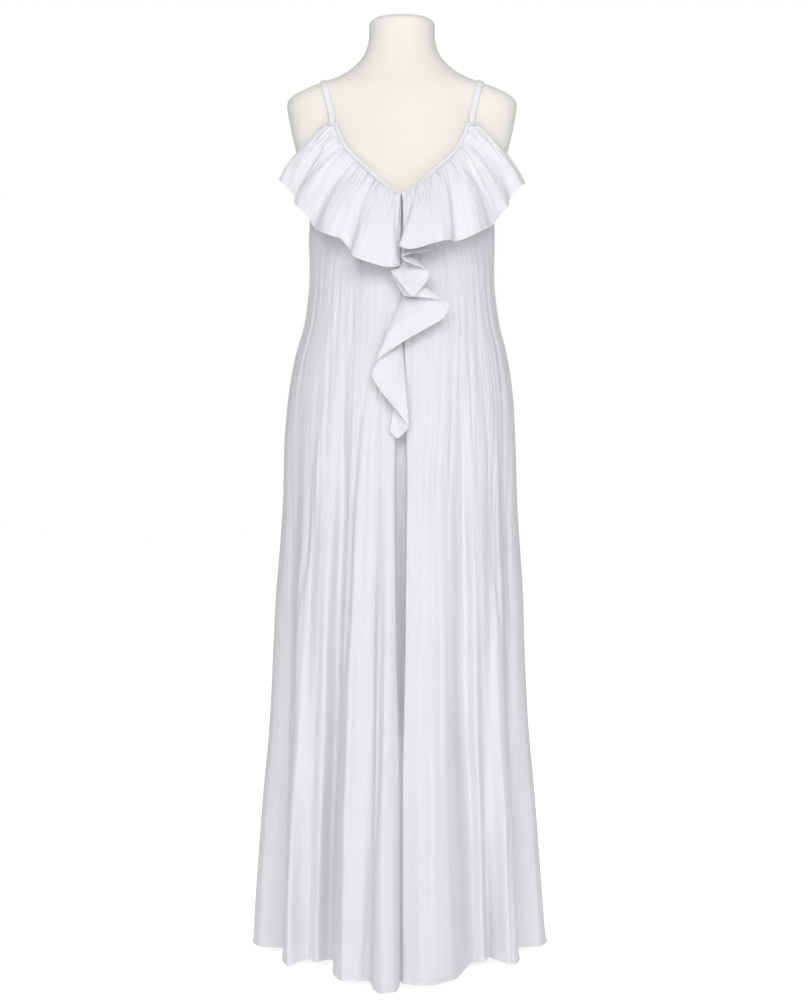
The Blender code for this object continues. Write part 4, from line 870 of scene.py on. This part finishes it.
cascadeShape = {
    "wall": 0.0007,
    "steps": 14,
    "crush": 0.5,
    "bow": 0.006,
    "root": 0.16,               # how far across it starts from the seam, as a share
    "ease": 0.35,               # below 1 its edge runs straighter between its turns
    "lift": 0.0009,
    "seamX": 0.001,
    "crushPleats": (0.010, 0.0004),     # spacing and height
    "rippledEdge": (0.013, 0.0007),
    "hem": (0.0042, 0.00022),
    "flat": (0.100, 0.66),      # depth of the widest part, and along the free edge
    "area": 0.024,
    # turns of the free edge: height of the sewn end of that line, then x, height and depth of its free end
    "folds": [
        (1.15, 0.044, 1.134, 0.16), (1.143, 0, 1.121, 0.172), (1.136, 0.043, 1.1, 0.159),
        (1.129, 0.039, 1.086, 0.16), (1.122, 0.017, 1.061, 0.171), (1.115, -0.008, 1.09, 0.166),
        (1.108, -0.017, 1.102, 0.156), (1.103, 0.004, 1.064, 0.152), (1.099, 0.04, 1.06, 0.162),
        (1.093, 0.074, 1.052, 0.16), (1.076, 0.066, 1.03, 0.153), (1.062, 0.01, 0.996, 0.164),
        (1.048, -0.04, 0.961, 0.166), (1.03, -0.047, 0.94, 0.16), (1.012, -0.035, 0.917, 0.16),
        (0.992, -0.007, 0.882, 0.17), (0.975, 0.011, 0.858, 0.171), (0.96, -0.007, 0.84, 0.16),
        (0.945, -0.019, 0.852, 0.158),
    ],
}

# ruled from the centre seam to the free edge, which turns back and forth as it falls, and bowed forwards
def makeCascade(name, node, seed):
    places, height, edge = tableCurve(cascadeShape["folds"], cascadeShape["steps"], cascadeShape["ease"])
    centre, lift = dressGrid[:, seamColumn], cascadeShape["lift"]
    seamDepth = np.interp(height, centre[:, 2], centre[:, 1]) - lift
    seam = np.stack([cascadeShape["seamX"] + 0 * height, seamDepth, height], axis=-1)
    root = seam + (edge - seam) * (cascadeShape["root"], cascadeShape["root"], 0)
    shares = np.concatenate([np.linspace(0, 0.94, 30), hemShares])[:, None]
    grid = root + (edge - root) * shares[..., None]
    grid[..., 1] -= cascadeShape["bow"] * 4 * shares * (1 - shares)
    edgeRun = runAlong(edge[None], 1)[0]
    edgePlace = np.broadcast_to(edgeRun, grid.shape[:2])
    gap = (1 - shares) * np.linalg.norm(edge - root, axis=-1)
    crushGap, crushHeight = cascadeShape["crushPleats"]
    rippleGap, rippleHeight = cascadeShape["rippledEdge"]
    crush = np.abs(softNoise(seed, edgePlace / crushGap, shares * 3 + 5))
    relief = crushHeight * (1 - 2.2 * crush) * smoothStep((shares - 0.15) / 0.3)
    relief += turnedEdge(gap, *cascadeShape["hem"]) * (gap < 0.012)
    relief += rippleHeight * softNoise(seed + 1, edgePlace / rippleGap, 0 * edgePlace) * np.exp(-(gap / 0.010)**2)
    grid = grid + sheetNormals(grid) * relief[..., None]
    grid = keepClear(grid, lift + 0.0004 + 0.003 * shares, 0.0004 + 0.004 * shares)
    grid = np.concatenate([seam[None], grid])
    gap = np.concatenate([gap[:1], gap])
    fromSeam = runAlong(grid, 0)
    cascade = gridPiece(name, grid, cotton, fromSeam, edgeRun, gap + 0.0018, edgeRun, cascadeShape["wall"], 0.0,
                        cascadeShape["crush"])
    finishPiece(cascade, node)
    print(name, "seam %.3f edge %.3f depth %.3f" % (height[0] - height[-1], edgeRun[-1], fromSeam[-1].mean()))

makeCascade("waterfallCascade", "cascade", 81)
print("cascade made")

# The straps

strapShape = {
    "width": 0.0100,
    "thick": 0.0018,
    "flatWidth": 0.0115,
    "steps": 9,
    "front": (61, 66),          # degrees of its two edges where it is sewn in
    "back": (131, 126),
    "sunk": (0.0075, 0.0030),   # how far its two ends reach below the dress's top edge
    # the right strap's path over the shoulder: how far it stands off the form, then x, height and depth
    "path": [
        (0.004, 0.1105, 1.356, 0.056), (0.0018, 0.116, 1.385, 0.048), (0.0012, 0.124, 1.415, 0.03),
        (0.0006, 0.129, 1.432, 0), (0.0026, 0.125, 1.418, -0.035), (0.002, 0.113, 1.378, -0.06),
        (0.002, 0.106, 1.32, -0.07), (0.004, 0.104, 1.252, -0.074),
    ],
    # round the band: place across it as a share of its half width, and out of it as a share of its thickness
    "round": [
        (-0.8, 0), (0.8, 0), (0.95, 0.12), (1, 0.4), (0.96, 0.72), (0.84, 0.92), (0.62, 0.98), (0.55, 0.86),
        (0.3, 0.99), (0, 1.03), (-0.3, 0.99), (-0.55, 0.86), (-0.62, 0.98), (-0.84, 0.92), (-0.96, 0.72), (-1, 0.4),
        (-0.95, 0.12),
    ],
}

def formDistance(points):
    angle = np.arctan2(points[..., 0], -points[..., 1])
    return np.hypot(points[..., 0], points[..., 1]) - formRadius(angle, points[..., 2])

def formSlope(points):
    steps = np.eye(3) * 0.003
    return np.stack([(formDistance(points + way) - formDistance(points - way)) / 0.006 for way in steps], axis=-1)

# moves points square to the form until they stand off it by the clearance
def layOnForm(points, clearance):
    for _ in range(6):
        slope = formSlope(points)
        steep = np.linalg.norm(slope, axis=-1)
        points = points + ((clearance - formDistance(points) / steep) / steep)[..., None] * slope
    return points

# a flat band with folded edges, carried along its path over the shoulder from top edge to top edge
def makeStrap(name, node, side):
    _, clearance, path = tableCurve(strapShape["path"], strapShape["steps"])
    centre = layOnForm(path, clearance)
    along = unitOf(np.gradient(centre, axis=0))
    out = unitOf(formSlope(centre))
    across = unitOf(np.cross(along, out)) * strapShape["width"] / 2
    left, right = layOnForm(centre - across, clearance), layOnForm(centre + across, clearance)
    for row, (inside, outside) in ((0, strapShape["front"]), (-1, strapShape["back"])):
        ends = np.array([inside, outside], dtype=float)
        sink = np.array([0, 0, -strapShape["sunk"][row]])
        square = bodiceNormal(ends, topHeight(ends))
        left[row], right[row] = bodicePoint(ends, topHeight(ends)) + sink + square * 0.0003
        out[row] = square.mean(axis=0)
    profile = np.array(strapShape["round"])
    middle, half = (left + right) / 2, (right - left) / 2
    grid = middle[:, None] + half[:, None] * profile[:, :1] + out[:, None] * strapShape["thick"] * profile[:, 1:]
    grid = grid * (side, 1, 1)
    rows, columns = grid.shape[:2]
    spot = np.arange(rows * columns).reshape(rows, columns)
    following = np.roll(spot, -1, axis=1)
    quads = np.stack([spot[:-1], following[:-1], following[1:], spot[1:]], axis=-1).reshape(-1, 4)
    faces = quads.tolist() + [spot[0][::-1].tolist(), spot[-1].tolist()]
    if side < 0:
        faces = [face[::-1] for face in faces]
    length = runAlong(middle[None], 1)[0]
    halfWidth = strapShape["width"] / 2
    values = {"edgeGap": (1 - np.abs(profile[:, 0])) * halfWidth, "edgeRun": length[:, None]}
    strap = meshPiece(name, grid, faces, trimCotton, profile[:, 0] * halfWidth, length[:, None], values)
    finishPiece(strap, node)

makeStrap("strapLeft", "strap_left", -1)
makeStrap("strapRight", "strap_right", 1)
print("straps made")

# The dress form and its stand

# rings of the form's section at close heights, closed by a low dome at the neck and a flat bottom
def makeTorso(name, node):
    low, high = formShape["sections"][-1][0], formShape["sections"][0][0]
    count = int((high - low) / formShape["rowStep"])
    closing = 0.02 * np.sin(np.linspace(0, np.pi / 2, 12))[1:]
    heights = np.concatenate([np.linspace(low, high - 0.02, count), high - 0.02 + closing])
    angles = np.linspace(0, 2 * np.pi, formShape["columns"] + 1)
    around, up = np.meshgrid(angles, heights)
    radius = formRadius(around, up)
    shrink = np.linspace(1, 0.02, 9)[1:, None]
    topRing, lowRing = radius[-1], radius[0]
    radius = np.concatenate([lowRing * shrink[::-1], radius, topRing * shrink])
    up = np.concatenate([low + 0 * lowRing * shrink, up, high + 0.0010 * (1 - shrink**2) + 0 * topRing * shrink])
    around = np.broadcast_to(angles, radius.shape)
    grid = np.stack([radius * np.sin(around), -radius * np.cos(around), up], axis=-1)
    finishPiece(gridPiece(name, grid, jersey, around * 0.14, up), node)

makeTorso("formTorso", "form_torso")
for node, stretch in (("form_pole", (1, 1, 0.02)), ("form_base", (0.03, 1, 1))):
    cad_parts[node].material_slots[0].material = steelMaterial(node + "Steel", steelLook, stretch)
print("form made")
